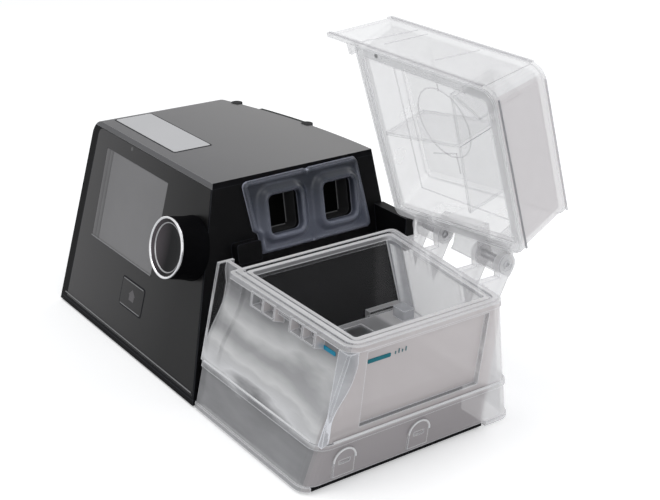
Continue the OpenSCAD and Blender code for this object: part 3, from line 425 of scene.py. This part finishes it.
# Finishes of detail pieces
# Bright lines that are painted highlights along edges: under the display, at the panel's foot, on the home button
# and in the ports.
plastic("highlight_line", (0.22, 0.22, 0.225), rough=0.35, grain=0.05, level=0.3)
plastic("display_bezel", (0.14, 0.138, 0.14), rough=0.3, grain=0.0, level=0.3)
plastic("display_step", (0.135, 0.132, 0.135), rough=0.3, grain=0.0, level=0.3)
plastic("knob_bevel", (0.45, 0.45, 0.46), rough=0.3, grain=0.03, metallic=0.6)
plastic("home_print", (0.12, 0.115, 0.12), rough=0.5, grain=0.05, level=0.2)
clear("clear_post", (0.62, 0.63, 0.66), (0.85, 0.86, 0.9), face=0.45, rim=0.85, grazing=0.2, rough=0.3,
      streak=0.5, scale=(20.0, 20.0, 40.0))
# Bright clear lines, painted highlights along the tank's seam, its clips and its back corner; the floor ring is made
# of it too.
clear("clear_line", (0.85, 0.85, 0.86), (0.9, 0.9, 0.92), face=0.75, rim=0.9, grazing=0.1, rough=0.3,
      streak=0.3, scale=(20.0, 20.0, 40.0))
clear("lid_line", (0.62, 0.61, 0.63), (0.6, 0.59, 0.61), face=0.4, rim=0.5, grazing=0.1, rough=0.3, streak=0.3,
      scale=20.0)
clear("lid_faint", (0.76, 0.75, 0.77), (0.74, 0.73, 0.75), face=0.2, rim=0.22, grazing=0.05, rough=0.3,
      streak=0.2, scale=20.0)
clear("lid_dark", (0.36, 0.36, 0.38), (0.36, 0.36, 0.38), face=0.6, rim=0.7, grazing=0.1, rough=0.3, streak=0.2,
      scale=20.0)
plastic("lid_spot", (0.06, 0.06, 0.06), rough=0.5, grain=0.0, level=0.2)
clear("hinge_clear", (0.9, 0.9, 0.91), (0.6, 0.6, 0.62), face=0.35, rim=0.7, grazing=0.2, rough=0.3, streak=0.3,
      scale=30.0, edge_radius=0.0006)
# Painted highlight: a lighter colour along its edges.
plastic("back_trim", (0.022, 0.022, 0.023), rough=0.35, level=0.3, edge=(0.09, 0.09, 0.09))
plastic("end_ink", (0.005, 0.15, 0.19), rough=0.4, level=0.2)
plastic("tick_ink", (0.1, 0.2, 0.22), rough=0.4, level=0.2)
# Near-black for the painted shade deep inside the air ports.
plastic("port_painted_shade", (0.002, 0.002, 0.002), rough=0.6, grain=0.0, level=0.04)


def dress_nodes():
    """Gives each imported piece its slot's finish; the lid's inner ribs are fainter than its shell."""
    slots = {row["node"]: row["material_slot"] for row in frame["record"]["subparts"]}
    for name, obj in NODES.items():
        material = MATERIALS["lid_rib" if name == "lid_baffle" else slots[name]]
        if not obj.material_slots:
            obj.data.materials.append(material)
        for place in obj.material_slots:
            place.material = material


# ---------------------------------------------------------------- shapes

def frame_at(origin, right, up):
    """Matrix from local millimetres (across, up, out) to the scene; origin is in the unit's coordinates."""
    right, up = Vector(right), Vector(up)
    turn = Matrix((right, up, right.cross(up))).transposed().to_4x4()
    return Matrix.Translation(at(*origin)) @ turn @ Matrix.Scale(MM, 4)


ON_PANEL = frame_at((0, 0, 0), (1, 0, 0), (0, math.sin(FRONT_ANG), math.cos(FRONT_ANG)))
ON_DOCK = frame_at((0, 0, 0), (0, 1, 0), (-math.sin(DOCK_ANG), 0, math.cos(DOCK_ANG)))
UPRIGHT = frame_at((0, 0, 0), (1, 0, 0), (0, 1, 0))
TO_FRONT = frame_at((0, 0, 0), (1, 0, 0), (0, 0, 1))
TO_RIGHT = frame_at((0, 0, 0), (0, 1, 0), (0, 0, 1))


def finish_piece(name, mesh_maker, place, slot, body, sharp=40):
    """Turns a bmesh in local millimetres into a named piece that rides on a body."""
    bmesh.ops.remove_doubles(mesh_maker, verts=mesh_maker.verts, dist=0.0005)
    bmesh.ops.recalc_face_normals(mesh_maker, faces=mesh_maker.faces)
    mesh_maker.transform(place)
    mesh = bpy.data.meshes.new(name)
    mesh_maker.to_mesh(mesh)
    mesh_maker.free()
    mesh.shade_smooth()
    mesh.set_sharp_from_angle(angle=math.radians(sharp))
    piece = bpy.data.objects.new(name, mesh)
    bpy.context.collection.objects.link(piece)
    piece.data.materials.append(MATERIALS[slot])
    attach(piece, body)
    return piece


def add_loft(maker, rings, loop=False):
    """Skin through rings with as many points each; loop joins the last ring to the first."""
    rows = [[maker.verts.new(point) for point in ring] for ring in rings]
    count = len(rows[0])
    pairs = list(zip(rows, rows[1:])) + ([(rows[-1], rows[0])] if loop else [])
    for low, high in pairs:
        for i in range(count):
            j = (i + 1) % count
            maker.faces.new((low[i], low[j], high[j], high[i]))
    if not loop:
        maker.faces.new(rows[0][::-1])
        maker.faces.new(rows[-1])


def loft(name, rings, place, slot, body, loop=False, sharp=40):
    """One skinned form as a piece."""
    maker = bmesh.new()
    add_loft(maker, rings, loop)
    return finish_piece(name, maker, place, slot, body, sharp)


def rounded(x, y, width, height, radius, steps=6):
    """Points of a rectangle with rounded corners, from its lower left corner."""
    centres = [(x + width - radius, y + radius, -90), (x + width - radius, y + height - radius, 0),
               (x + radius, y + height - radius, 90), (x + radius, y + radius, 180)]
    return [(cx + radius * math.cos(math.radians(start + 90 * i / steps)),
             cy + radius * math.sin(math.radians(start + 90 * i / steps)))
            for cx, cy, start in centres for i in range(steps + 1)]


def lift(points, out):
    """Flat points raised to one height."""
    return [(x, y, out) for x, y in points]


def circle(x, y, radius, steps):
    """Points of a circle round a centre."""
    return [(x + radius * math.cos(2 * math.pi * i / steps), y + radius * math.sin(2 * math.pi * i / steps))
            for i in range(steps)]


def revolve(name, centre, profile, place, slot, body, loop=False, steps=96):
    """Turned piece from (radius, out) pairs."""
    rings = [lift(circle(*centre, radius, steps), out) for radius, out in profile]
    return loft(name, rings, place, slot, body, loop)


def add_rod(maker, path, radius):
    """Round rod along a path of points."""
    points = [Vector(point) for point in path]
    rings, side, steps = [], None, 10
    for i, point in enumerate(points):
        ahead = (points[min(i + 1, len(points) - 1)] - points[max(i - 1, 0)]).normalized()
        start = side or (Vector((0, 0, 1)) if abs(ahead.z) < 0.9 else Vector((1, 0, 0)))
        side = (start - ahead * start.dot(ahead)).normalized()
        other = ahead.cross(side)
        rings.append([point + radius * (math.cos(2 * math.pi * k / steps) * side
                                        + math.sin(2 * math.pi * k / steps) * other) for k in range(steps)])
    add_loft(maker, rings)


def rods(name, paths, radius, place, slot, body):
    """Several round rods as one piece."""
    maker = bmesh.new()
    for path in paths:
        add_rod(maker, path, radius)
    return finish_piece(name, maker, place, slot, body)


def plate(name, outline, low, high, edge, place, slot, body):
    """Flat plate with a small rounded upper edge; outline gives its points moved in by a distance."""
    rings = [lift(outline(0), low), lift(outline(0), high - edge), lift(outline(edge * 0.3), high - edge * 0.3),
             lift(outline(edge), high)]
    return loft(name, rings, place, slot, body)


def border(name, outer, inner, low, high, place, slot, body):
    """Flat frame between two outlines with as many points each."""
    return loft(name, [lift(outer, low), lift(outer, high), lift(inner, high), lift(inner, low)], place, slot, body,
                loop=True)


# ---------------------------------------------------------------- unit: panel, knob and keys
SCREEN_X, SCREEN_U, SCREEN_W, SCREEN_H = 24.3 - UNIT_LEN, UNIT_H - 60.7, 70.0, 52.0
KNOB, KNOB_R, KNOB_LEN = (-27.0, 77.5), 16.0, 17.5
HOME_X, HOME_U, HOME_W, HOME_H = -89.5, 24.0, 24.0, 15.5
START_X, START_Y, START_W, START_D = 14.3 - UNIT_LEN, 35.7, 68.0, 22.5
KEY_R = 1.2
HOUSE = ((-2.6, -2.8), (2.6, -2.8), (2.6, 0.4), (3.7, 0.4), (0.0, 3.8), (-3.7, 0.4), (-2.6, 0.4))


def turned(pairs):
    """Profile from (distance outside the knob's radius, distance out of its front) pairs."""
    return [(KNOB_R + across, KNOB_LEN + out) for across, out in pairs]


def build_knob():
    """Chamfered bright ring, dished face with a fine line round it, and the sleeve that widens at the panel."""
    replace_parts(revolve("knob_ring_bright", KNOB, turned((
        (-1.7, -1.6), (-0.15, -1.3), (0.0, -0.8), (-0.15, -0.25), (-0.55, 0.0), (-1.0, -0.1), (-1.35, -0.5))),
        ON_PANEL, "chrome", "knob", loop=True), "knob_ring")
    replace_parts(revolve("knob_dish", KNOB, turned((
        (-3.5, -3.6), (-1.4, -3.4), (-1.4, -0.6), (-1.7, -0.7), (-3.4, -2.0), (-3.8, -2.2), (-8.0, -2.6),
        (-12.0, -2.8), (0.6 - KNOB_R, -2.9))), ON_PANEL, "knob_cap", "knob"), "knob_face")
    revolve("knob_inner_line", KNOB, turned(((-3.7, -2.2), (-3.3, -2.0), (-3.1, -1.7), (-3.5, -1.8))),
            ON_PANEL, "knob_bevel", "knob", loop=True)
    revolve("knob_sleeve", KNOB, [
        (KNOB_R - 2.0, 1.6), (KNOB_R + 0.9, 1.4), (KNOB_R + 1.0, 2.2), (KNOB_R + 0.5, 4.5), (KNOB_R + 0.1, 9.0)]
        + turned(((-0.05, -1.5), (-0.5, -1.3), (-2.2, -1.3))), ON_PANEL, "knob_black", "knob", loop=True)


def build_screen():
    """Bezel steps at the display's left, and the bright line under it, a painted highlight along the display's lower
    edge.
    """
    for index, (left, width, slot) in enumerate(((0.2, 4.0, "display_step"), (4.2, 3.2, "display_bezel"))):
        x = SCREEN_X + left
        plate("screen_step_%d" % index, lambda inset, x=x, width=width: rounded(
            x + inset, SCREEN_U + 0.3 + inset, width - 2 * inset, SCREEN_H - 0.6 - 2 * inset, 0.2),
            -0.3, 0.02 - 0.06 * index, 0.05, ON_PANEL, slot, "unit")
    low = SCREEN_U - 0.1
    rods("screen_lower_line", [[(SCREEN_X - 0.4, low, 0.0), (SCREEN_X + SCREEN_W, low, 0.0)]],
         0.4, ON_PANEL, "highlight_line", "unit")


def build_foot_line():
    """Bright line low on the panel, where it meets the base: a painted highlight along that edge."""
    rods("panel_foot_line", [[(x, 7.0, 0.15) for x in (5.3 - UNIT_LEN, -4.0)]], 0.35, ON_PANEL, "highlight_line", "unit")


def build_keys():
    """Bright edges of the home button, painted highlights along its top and bottom, its printed house, and the dark
    gaps round both buttons.
    """
    x, u, width, height = HOME_X, HOME_U, HOME_W, HOME_H
    rods("home_edge_lines", [[(end, across, 0.2) for end in (x + 1, x + width - 1)]
                             for across in (u + height - 0.4, u + 0.4)], 0.28, ON_PANEL, "highlight_line", "home_key")
    house = [(x + width * 0.5 + a, u + height * 0.5 + b) for a, b in HOUSE]
    loft("home_symbol", [lift(house, out) for out in (0.1, 0.26)], ON_PANEL, "home_print", "home_key")
    gap = 0.8
    border("home_gap", rounded(x - gap, u - gap, width + 2 * gap, height + 2 * gap, KEY_R + 0.6),
           rounded(x, u, width, height, KEY_R), -0.6, 0.03, ON_PANEL, "black_housing", "unit")
    gap = 0.9
    border("start_gap", rounded(START_X - gap, START_Y - gap, START_W + 2.1, START_D + 2 * gap, KEY_R + 0.6),
           rounded(START_X, START_Y, START_W, START_D, KEY_R), UNIT_H - 0.6, UNIT_H + 0.05, UPRIGHT,
           "black_housing", "unit")


# ---------------------------------------------------------------- unit: gasket and ports
PORT_W, PORT_H, PORT_R, PORT_S = 20.0, 21.0, 3.0, UNIT_H - 30.5
PORT_Y = (56.5, 91.0)
PORT_MID = (PORT_Y[0] + PORT_W + PORT_Y[1]) / 2
FLANGE = [(PORT_Y[0] + a, PORT_S + b) for a, b in (
    (-12.5, 28.5), (-10.5, 30.1), (58.5, 31.1), (60.5, 29.5), (66.0, -7.0), (64.5, -9.0), (-5.0, -9.5),
    (-6.5, 2.0), (-9.0, 3.5))]
# The gasket's section: flange, lip with its flat top and slope, rounding of the lip, bead and drop at the edge
FLANGE_T, LIP_H, LIP_TOP, LIP_SLOPE, LIP_ROUND = 1.5, 3.6, 1.6, 4.2, 0.9
BEAD_H, BEAD_IN, BEAD_W, EDGE_DROP, EDGE_W = 0.7, 1.6, 0.9, 1.1, 0.8
RAYS, RAY_STEPS, GASKET_FOOT = 96, 18, 0.1
PORT_DEPTH = 12.0


def ease(t):
    """Smooth step from 0 to 1."""
    t = min(max(t, 0.0), 1.0)
    return t * t * (3 - 2 * t)


def port_distance(y, s):
    """Distance outside the nearer port's rounded opening."""
    found = []
    for left in PORT_Y:
        a = max(abs(y - left - PORT_W / 2) - PORT_W / 2 + PORT_R, 0)
        b = max(abs(s - PORT_S - PORT_H / 2) - PORT_H / 2 + PORT_R, 0)
        found.append(math.hypot(a, b) - PORT_R)
    return max(min(found), 0.0)


def flange_distance(y, s):
    """Distance to the nearest edge of the flange."""
    best = 1e9
    for (ay, as_), (by, bs) in zip(FLANGE, FLANGE[1:] + FLANGE[:1]):
        dy, ds = by - ay, bs - as_
        t = min(max(((y - ay) * dy + (s - as_) * ds) / (dy * dy + ds * ds), 0.0), 1.0)
        best = min(best, math.hypot(y - ay - t * dy, s - as_ - t * ds))
    return best


def gasket_height(y, s):
    """Soft lips round the ports, a hollow flange and a bead along its outer edge."""
    near, edge = port_distance(y, s), flange_distance(y, s)
    height = FLANGE_T + LIP_H * ease(1 - (near - LIP_TOP) / LIP_SLOPE)
    height -= LIP_ROUND * max(1 - near / LIP_ROUND, 0) ** 2
    height += BEAD_H * math.exp(-((edge - BEAD_IN) / BEAD_W) ** 2) - EDGE_DROP * max(1 - edge / EDGE_W, 0) ** 2
    return height


def ray_length(centre, angle, outline, limit_y):
    """How far a ray runs from a centre to an outline, or to the upright line between the ports."""
    dy, ds = math.cos(angle), math.sin(angle)
    best = 1e9
    for (ay, as_), (by, bs) in zip(outline, outline[1:] + outline[:1]):
        ey, es = by - ay, bs - as_
        cross = dy * es - ds * ey
        if abs(cross) < 1e-9:
            continue
        t = ((ay - centre[0]) * es - (as_ - centre[1]) * ey) / cross
        k = ((ay - centre[0]) * ds - (as_ - centre[1]) * dy) / cross
        if t > 0 and -1e-9 <= k <= 1 + 1e-9:
            best = min(best, t)
    if limit_y is not None and (limit_y - centre[0]) * dy > 0:
        best = min(best, (limit_y - centre[0]) / dy)
    return best


def build_gasket():
    """Rays from each port's middle out to the flange's edge; both halves meet on the line between the ports."""
    maker = bmesh.new()
    for side, left in enumerate(PORT_Y):
        centre = (left + PORT_W / 2, PORT_S + PORT_H / 2)
        opening = rounded(left, PORT_S, PORT_W, PORT_H, PORT_R)
        top, under = [], []
        for k in range(RAYS):
            angle = 2 * math.pi * k / RAYS
            angle = math.pi - angle if side else angle
            inner = ray_length(centre, angle, opening, None)
            outer = ray_length(centre, angle, FLANGE, PORT_MID)
            column_top, column_under = [], []
            for i in range(RAY_STEPS + 1):
                far = inner + (outer - inner) * i / RAY_STEPS
                y, s = centre[0] + far * math.cos(angle), centre[1] + far * math.sin(angle)
                column_top.append(maker.verts.new((y, s, gasket_height(y, s))))
                column_under.append(maker.verts.new((y, s, GASKET_FOOT)))
            top.append(column_top)
            under.append(column_under)
        for k in range(RAYS):
            a, b = top[k], top[(k + 1) % RAYS]
            c, d = under[k], under[(k + 1) % RAYS]
            for i in range(RAY_STEPS):
                maker.faces.new((a[i], a[i + 1], b[i + 1], b[i]))
                maker.faces.new((c[i], d[i], d[i + 1], c[i + 1]))
            maker.faces.new((a[0], b[0], d[0], c[0]))
            if max(abs(end.co.x - PORT_MID) for end in (a[-1], b[-1])) > 0.01:
                maker.faces.new((a[-1], c[-1], d[-1], b[-1]))
    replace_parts(finish_piece("gasket_soft", maker, ON_DOCK, "silicone", "unit", sharp=50), "docking_gasket")


def build_port_shade_plates():
    """Near-black plate in each air channel as painted shade of its depth, with bright corner lines seen through the
    port as painted highlights.
    """
    width, height, line = PORT_W - 0.2, PORT_H - 0.2, 0.2 - PORT_DEPTH
    for index, left in enumerate(PORT_Y):
        x, s = left + 0.1, PORT_S + 0.1
        plate("port_shade_plate_%d" % index, lambda inset: rounded(x + inset, s + inset, width - 2 * inset,
                                                          height - 2 * inset, PORT_R - 0.1),
              -PORT_DEPTH - 1, -PORT_DEPTH, 0.1, ON_DOCK, "port_painted_shade", "unit")
        rods("port_lines_%d" % index, [
            [(x + width - 0.4, s + 1.2, line), (x + width - 0.4, s + height - 1.2, line)],
            [(x + 1.2, s + 0.4, line), (x + width - 1.2, s + 0.4, line)]], 0.3, ON_DOCK, "highlight_line", "unit")


# ---------------------------------------------------------------- tank
RIM_Z, RIM_H, SEAM_Z, TANK_LEN, TANK_DRAFT = 76.0, 4.0, 26.0, 108.5, 9.5
WAVE_D, TANK_WALL, END_WALL = 6.5, 2.0, 5.5
VESSEL_LEFT, VESSEL_DRAFT = 9.0, 0.05
BACK_RIGHT, BACK_LEFT, BACK_FLARE = 110.0, 122.5, 18.0
POST_LEFT, POST_TOP, POST_DRAFT = 99.8, 70.8, 0.088
MARK_H, MARK_R = 2.1, 0.5
FLOOR_Z = 28.05
END_ANG = math.atan(TANK_DRAFT / RIM_Z)
ON_END = frame_at((TANK_LEN - TANK_DRAFT, 0, 0), (0, 1, 0), (math.sin(END_ANG), 0, math.cos(END_ANG)))


def front_y(z):
    """The leaning plane of the unit's and the tank's fronts."""
    return FRONT_LEAN * z / UNIT_H


def wall_y(z):
    """The vessel's waved front at height z."""
    return front_y(z) + WAVE_D * ease((z - SEAM_Z - 8) / 24) - 2 * ease((z - RIM_Z + 12) / 8)


def tank_x(z):
    """The tank's right end at height z."""
    return TANK_LEN - TANK_DRAFT * (RIM_Z - z) / RIM_Z


def vessel_x(z, inside):
    """A distance inside the vessel's left wall at height z."""
    return VESSEL_LEFT + inside + (RIM_Z - z) * VESSEL_DRAFT


def tank_back(x, z):
    """The leaning and flaring back of the tank at a place across it and a height."""
    return BACK_RIGHT + (BACK_LEFT - BACK_RIGHT) * (TANK_LEN - x) / TANK_LEN + BACK_FLARE * (RIM_Z - z) / RIM_Z


def heights(low, high, count):
    """Even steps from low to high, both ends included."""
    return [low + (high - low) * i / count for i in range(count + 1)]


def build_corner_posts():
    """Solid clear corners: the front right one fills the wave, and the back left one is a small fillet."""
    rings = []
    for z in heights(SEAM_Z + 0.6, RIM_Z - RIM_H - 0.2, 16):
        left, right, front = POST_LEFT + (POST_TOP - z) * POST_DRAFT, tank_x(z) - 0.7, front_y(z)
        curve = wall_y(z) + 1.5 + 4 * (1 - ease((z - SEAM_Z) / 20))
        rings.append([(left, front + 0.3, z), (right - 1.2, front + 0.3, z), (right, front + 1.4, z),
                      (right, curve, z), (left, wall_y(z) + 0.4, z)])
    loft("corner_post_front", rings, UPRIGHT, "clear_post", "tank", sharp=30)
    rings = []
    for z in heights(SEAM_Z + 2.2, RIM_Z - RIM_H + 0.6, 6):
        x = vessel_x(z, 2.2)
        y = tank_back(x, z) - 2.9
        rings.append([(x, y, z), (x, y - 5.2, z), (x + 1.6, y - 4.6, z), (x + 4.6, y - 1.6, z), (x + 5.2, y, z)])
    loft("corner_post_back", rings, UPRIGHT, "clear_post", "tank", sharp=30)
    # Bright lines along the back corner's edges: painted highlights.
    rods("corner_lines_back", [[(vessel_x(z, inside), tank_back(12, z) - back, z) for z in (SEAM_Z + 3, RIM_Z - 5)]
                               for inside, back in ((2.4, 8.4), (7.6, 3.0))], 0.35, UPRIGHT, "clear_line", "tank")


def build_level_marks():
    """Level line on the waved front, and on the end wall a line with four ticks beside it."""
    z = 63.6
    y = min(wall_y(z), wall_y(z + MARK_H)) - 0.05
    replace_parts(loft("level_mark_front", [lift(rounded(77.2, z, 14.6, MARK_H, MARK_R), out)
                                          for out in (-y - 0.02, -y + 0.3)],
                     TO_FRONT, "teal_ink", "tank"), "level_marks")
    face = -(END_WALL - TANK_WALL) * math.cos(END_ANG) + 0.06
    loft("level_mark_end", [lift(rounded(31.7, 62.4, 13.0, MARK_H, MARK_R), out) for out in (face, face + 0.3)],
         ON_END, "end_ink", "tank")
    maker = bmesh.new()
    for k in range(4):
        tick = rounded(47.2 + 2.0 * k, 62.8, 0.6, 2.4 if k % 2 else 1.6, 0.2, 3)
        add_loft(maker, [lift(tick, out) for out in (face, face + 0.25)])
    finish_piece("level_ticks", maker, ON_END, "tick_ink", "tank")


def build_tank_lines():
    """Bright lines on the seam and the clips, painted highlights along their edges, and the boss and the ring that
    stand on the floor.
    """
    z = SEAM_Z + 0.5
    for name, path in (("seam_line_front", [(x, front_y(z) - 0.15, z) for x in (2.0, 95.0)]),
                       ("seam_line_end", [(tank_x(z) + 0.1, y, z) for y in (front_y(z) + 8, 116.0)])):
        rods(name, [path], 0.55, UPRIGHT, "clear_line", "tank")
    plate("floor_boss", lambda inset: rounded(16 + inset, 116 + inset, 10 - 2 * inset, 8 - 2 * inset, 1.2),
          FLOOR_Z + 0.05, 34.0, 0.6, UPRIGHT, "clear_post", "tank")
    ring = ((2.2, 0), (2.2, 1.35), (2.6, 1.75), (3.6, 1.75), (4.0, 1.35), (4.0, 0))
    revolve("floor_ring", (66, 40), [(radius, FLOOR_Z + rise) for radius, rise in ring],
            UPRIGHT, "clear_line", "tank", loop=True, steps=40)
    clip_r, clip_z = 6.2, SEAM_Z - 11
    rods("clip_lines", [[(y + clip_r * math.cos(math.radians(a)), clip_z + clip_r * math.sin(math.radians(a)), 0.35)
                         for a in range(180, -1, -15)] for y in (22, 66)], 0.5, ON_END, "clear_line", "tank")


# ---------------------------------------------------------------- lid, in the coordinates of the closed lid
HINGE_Y, HINGE_Z, LID_OPEN = 128.0, 82.0, math.radians(72)
LID_Z, LID_FRONT, LID_FRONT_TOP, LID_RIGHT, LID_RIGHT_TOP = 77.8, 23.6, 26.4, 109.5, 107.7
ROOF_Z, MOUTH_Z = UNIT_H - 3.2, LID_Z - 0.1
FLANGE_Z = MOUTH_Z + 6
# Lines of the lid, each two points: on its front plate (x, z), and on its roof and round its mouth (x, y)
PLATE_LINES = (((9.9, 80.4), (24.1, 105.5)), ((22.8, 85.1), (32.5, 104.8)), ((59.9, 86.2), (69.7, 105.3)))
ROOF_LINES = (((29, 34.6), (28, 60)), ((12, 102), (32, 96)), ((32, 96), (32, 108)))
MOUTH_LINES = (((28.5, 34.6), (28.5, 105)), ((28.5, 105), (96, 100)))
DOME, DOME_R = (27, 79), 20
HINGE = at(0, HINGE_Y, HINGE_Z)
ON_LID = Matrix.Translation(HINGE) @ Matrix.Rotation(-LID_OPEN, 4, "X") @ Matrix.Translation(-HINGE) @ UPRIGHT


def lid_front(z):
    """The lid's leaning front at height z."""
    return LID_FRONT + (LID_FRONT_TOP - LID_FRONT) * (z - LID_Z) / (UNIT_H - LID_Z)


def lid_right(z):
    """The lid's leaning right side at height z."""
    return LID_RIGHT + (LID_RIGHT_TOP - LID_RIGHT) * (z - LID_Z) / (UNIT_H - LID_Z)


def build_lid_lines():
    """Parting and edge lines that stand out darker against the white behind."""
    rods("lid_plate_lines", [[(x, lid_front(z) + 0.05, z) for x, z in ends] for ends in PLATE_LINES], 0.3,
         ON_LID, "lid_faint", "lid")
    side, top, low = LID_Z + 1.6, UNIT_H - 1.2, LID_Z + 0.8
    rods("lid_side_line", [[(lid_right(side) + 0.1, y, side) for y in (LID_FRONT + 5, 108.0)]], 0.5,
         ON_LID, "lid_dark", "lid")
    rods("lid_top_lines", [
        [(lid_right(top) - 0.1, y, top) for y in (LID_FRONT_TOP + 7, 104.0)],
        [(x, lid_front(top) - 0.2, top) for x in (-1.0, 100.0)]], 0.5, ON_LID, "lid_line", "lid")
    rods("lid_low_line", [[(x, lid_front(low) - 0.5, low) for x in (-13.5, 101.0)]], 0.45, ON_LID, "lid_line", "lid")
    dome = [(DOME[0] + DOME_R * math.cos(a), DOME[1] + DOME_R * math.sin(a), ROOF_Z)
            for a in [math.radians(15 * k) for k in range(25)]]
    rods("lid_roof_lines", [dome] + [lift(ends, ROOF_Z) for ends in ROOF_LINES], 0.4, ON_LID, "lid_faint", "lid")
    rods("lid_mouth_lines", [lift(ends, FLANGE_Z) for ends in MOUTH_LINES], 0.35, ON_LID, "lid_faint", "lid")
    revolve("lid_hole_front", (24.5, 27.0), [(0.3, MOUTH_Z - 0.05), (1.1, MOUTH_Z - 0.02), (1.1, MOUTH_Z + 0.5),
                                             (0.3, MOUTH_Z + 0.5)], ON_LID, "lid_spot", "lid", loop=True, steps=24)


def build_hinge():
    """Discs on the ends of the hinge and the curved plate between its knuckles."""
    disc = ((1.2, 0), (5.0, 0), (5.2, 0.3), (5.0, 0.8), (3.4, 0.8), (3.2, 0.4), (2.4, 0.4), (2.2, 1.0), (1.2, 1.0))
    for index, x in enumerate((42.3, 88.3)):
        revolve("hinge_disc_%d" % index, (HINGE_Y, HINGE_Z), [(radius, x + out) for radius, out in disc],
                TO_RIGHT, "hinge_clear", "tank", loop=True, steps=40)
    section = [(123.5, 93.0), (128.5, 90.0), (132.0, 86.0), (133.6, 81.0), (133.0, 76.0), (131.6, 73.5)]
    left, right = 43.2, 86.5
    rings = [[(left, y, z), (right, y, z), (right, y + 1.3, z + 0.6), (left, y + 1.3, z + 0.6)] for y, z in section]
    loft("hinge_cover", rings, UPRIGHT, "hinge_clear", "lid", sharp=60)


# ---------------------------------------------------------------- back and left side
BACK_Y, BACK_R = 128.0, 407.0
OUTLET_X, OUTLET_Z, OUTLET_R, OUTLET_FLANGE_R = 39.3 - UNIT_LEN, 52.0, 11.0, 15.0
SOCKET_X, SOCKET_Z, SOCKET_W, SOCKET_H = 95.3 - UNIT_LEN, 22.0, 16.0, 12.0
SEAM_LOW, SEAM_HIGH = 13.5, 100.5


def back_at(x, z):
    """The unit's curved and leaning back at a place across it and a height."""
    return (BACK_Y - BACK_R + math.sqrt(BACK_R ** 2 - (x + DOCK_LEAN) ** 2)
            + BACK_LEAN * (UNIT_H - z) / UNIT_H)


def end_x(z):
    """The unit's leaning left side at height z."""
    return -UNIT_LEN + END_LEAN * z / UNIT_H


def build_back():
    """Collar and rings of the outlet, frame of the socket, and the seams of the back and the left side."""
    face = -back_at(OUTLET_X, OUTLET_Z)
    revolve("outlet_collar", (OUTLET_X, OUTLET_Z), [
        (OUTLET_FLANGE_R + across, face + out) for across, out in
        ((0.1, 0.4), (0.1, -1.6), (0.9, -2.2), (2.3, -2.0), (2.9, -1.2), (2.9, 1.6))],
        TO_FRONT, "back_trim", "unit", loop=True)
    for index, ring_out in enumerate((6.0, 9.0, 22.4)):
        revolve("outlet_ring_%d" % index, (OUTLET_X, OUTLET_Z), [
            (OUTLET_R + across, face - ring_out - out) for across, out in
            ((0.02, 0.0), (0.5, 0.3), (0.5, 0.9), (0.02, 1.2))], TO_FRONT, "duct_plastic", "unit", loop=True)
    lean = math.atan(BACK_LEAN / UNIT_H)
    slope = -(DOCK_LEAN + SOCKET_X) / BACK_R
    right = Vector((-1, -slope, 0)).normalized()
    out = right.cross(Vector((0, -math.sin(lean), math.cos(lean)))).normalized()
    on_back = frame_at((SOCKET_X, back_at(SOCKET_X, SOCKET_Z), SOCKET_Z), right, out.cross(right))
    outer, inner = [rounded(-SOCKET_W / 2 - rim, -SOCKET_H / 2 - rim, SOCKET_W + 2 * rim, SOCKET_H + 2 * rim, radius)
                    for rim, radius in ((2.6, 2), (0.2, 1))]
    border("socket_frame", outer, inner, -0.4, 1.0, on_back, "back_trim", "unit")
    rods("back_seams", [[(x, back_at(x, z) + 0.05, z) for x in range(-146, -42, 8)] for z in (SEAM_LOW, SEAM_HIGH)],
         0.4, UPRIGHT, "back_trim", "unit")
    rods("left_seams", [[(end_x(SEAM_LOW) - 0.05, y, SEAM_LOW) for y in (36.0, 110.0)]],
         0.4, UPRIGHT, "back_trim", "unit")


dress_nodes()
build_knob()
build_screen()
build_keys()
build_gasket()
build_port_shade_plates()
build_corner_posts()
build_level_marks()
build_tank_lines()
build_lid_lines()
build_hinge()
build_back()
build_foot_line()

scene = bpy.context.scene
scene.view_settings.view_transform = "Standard"
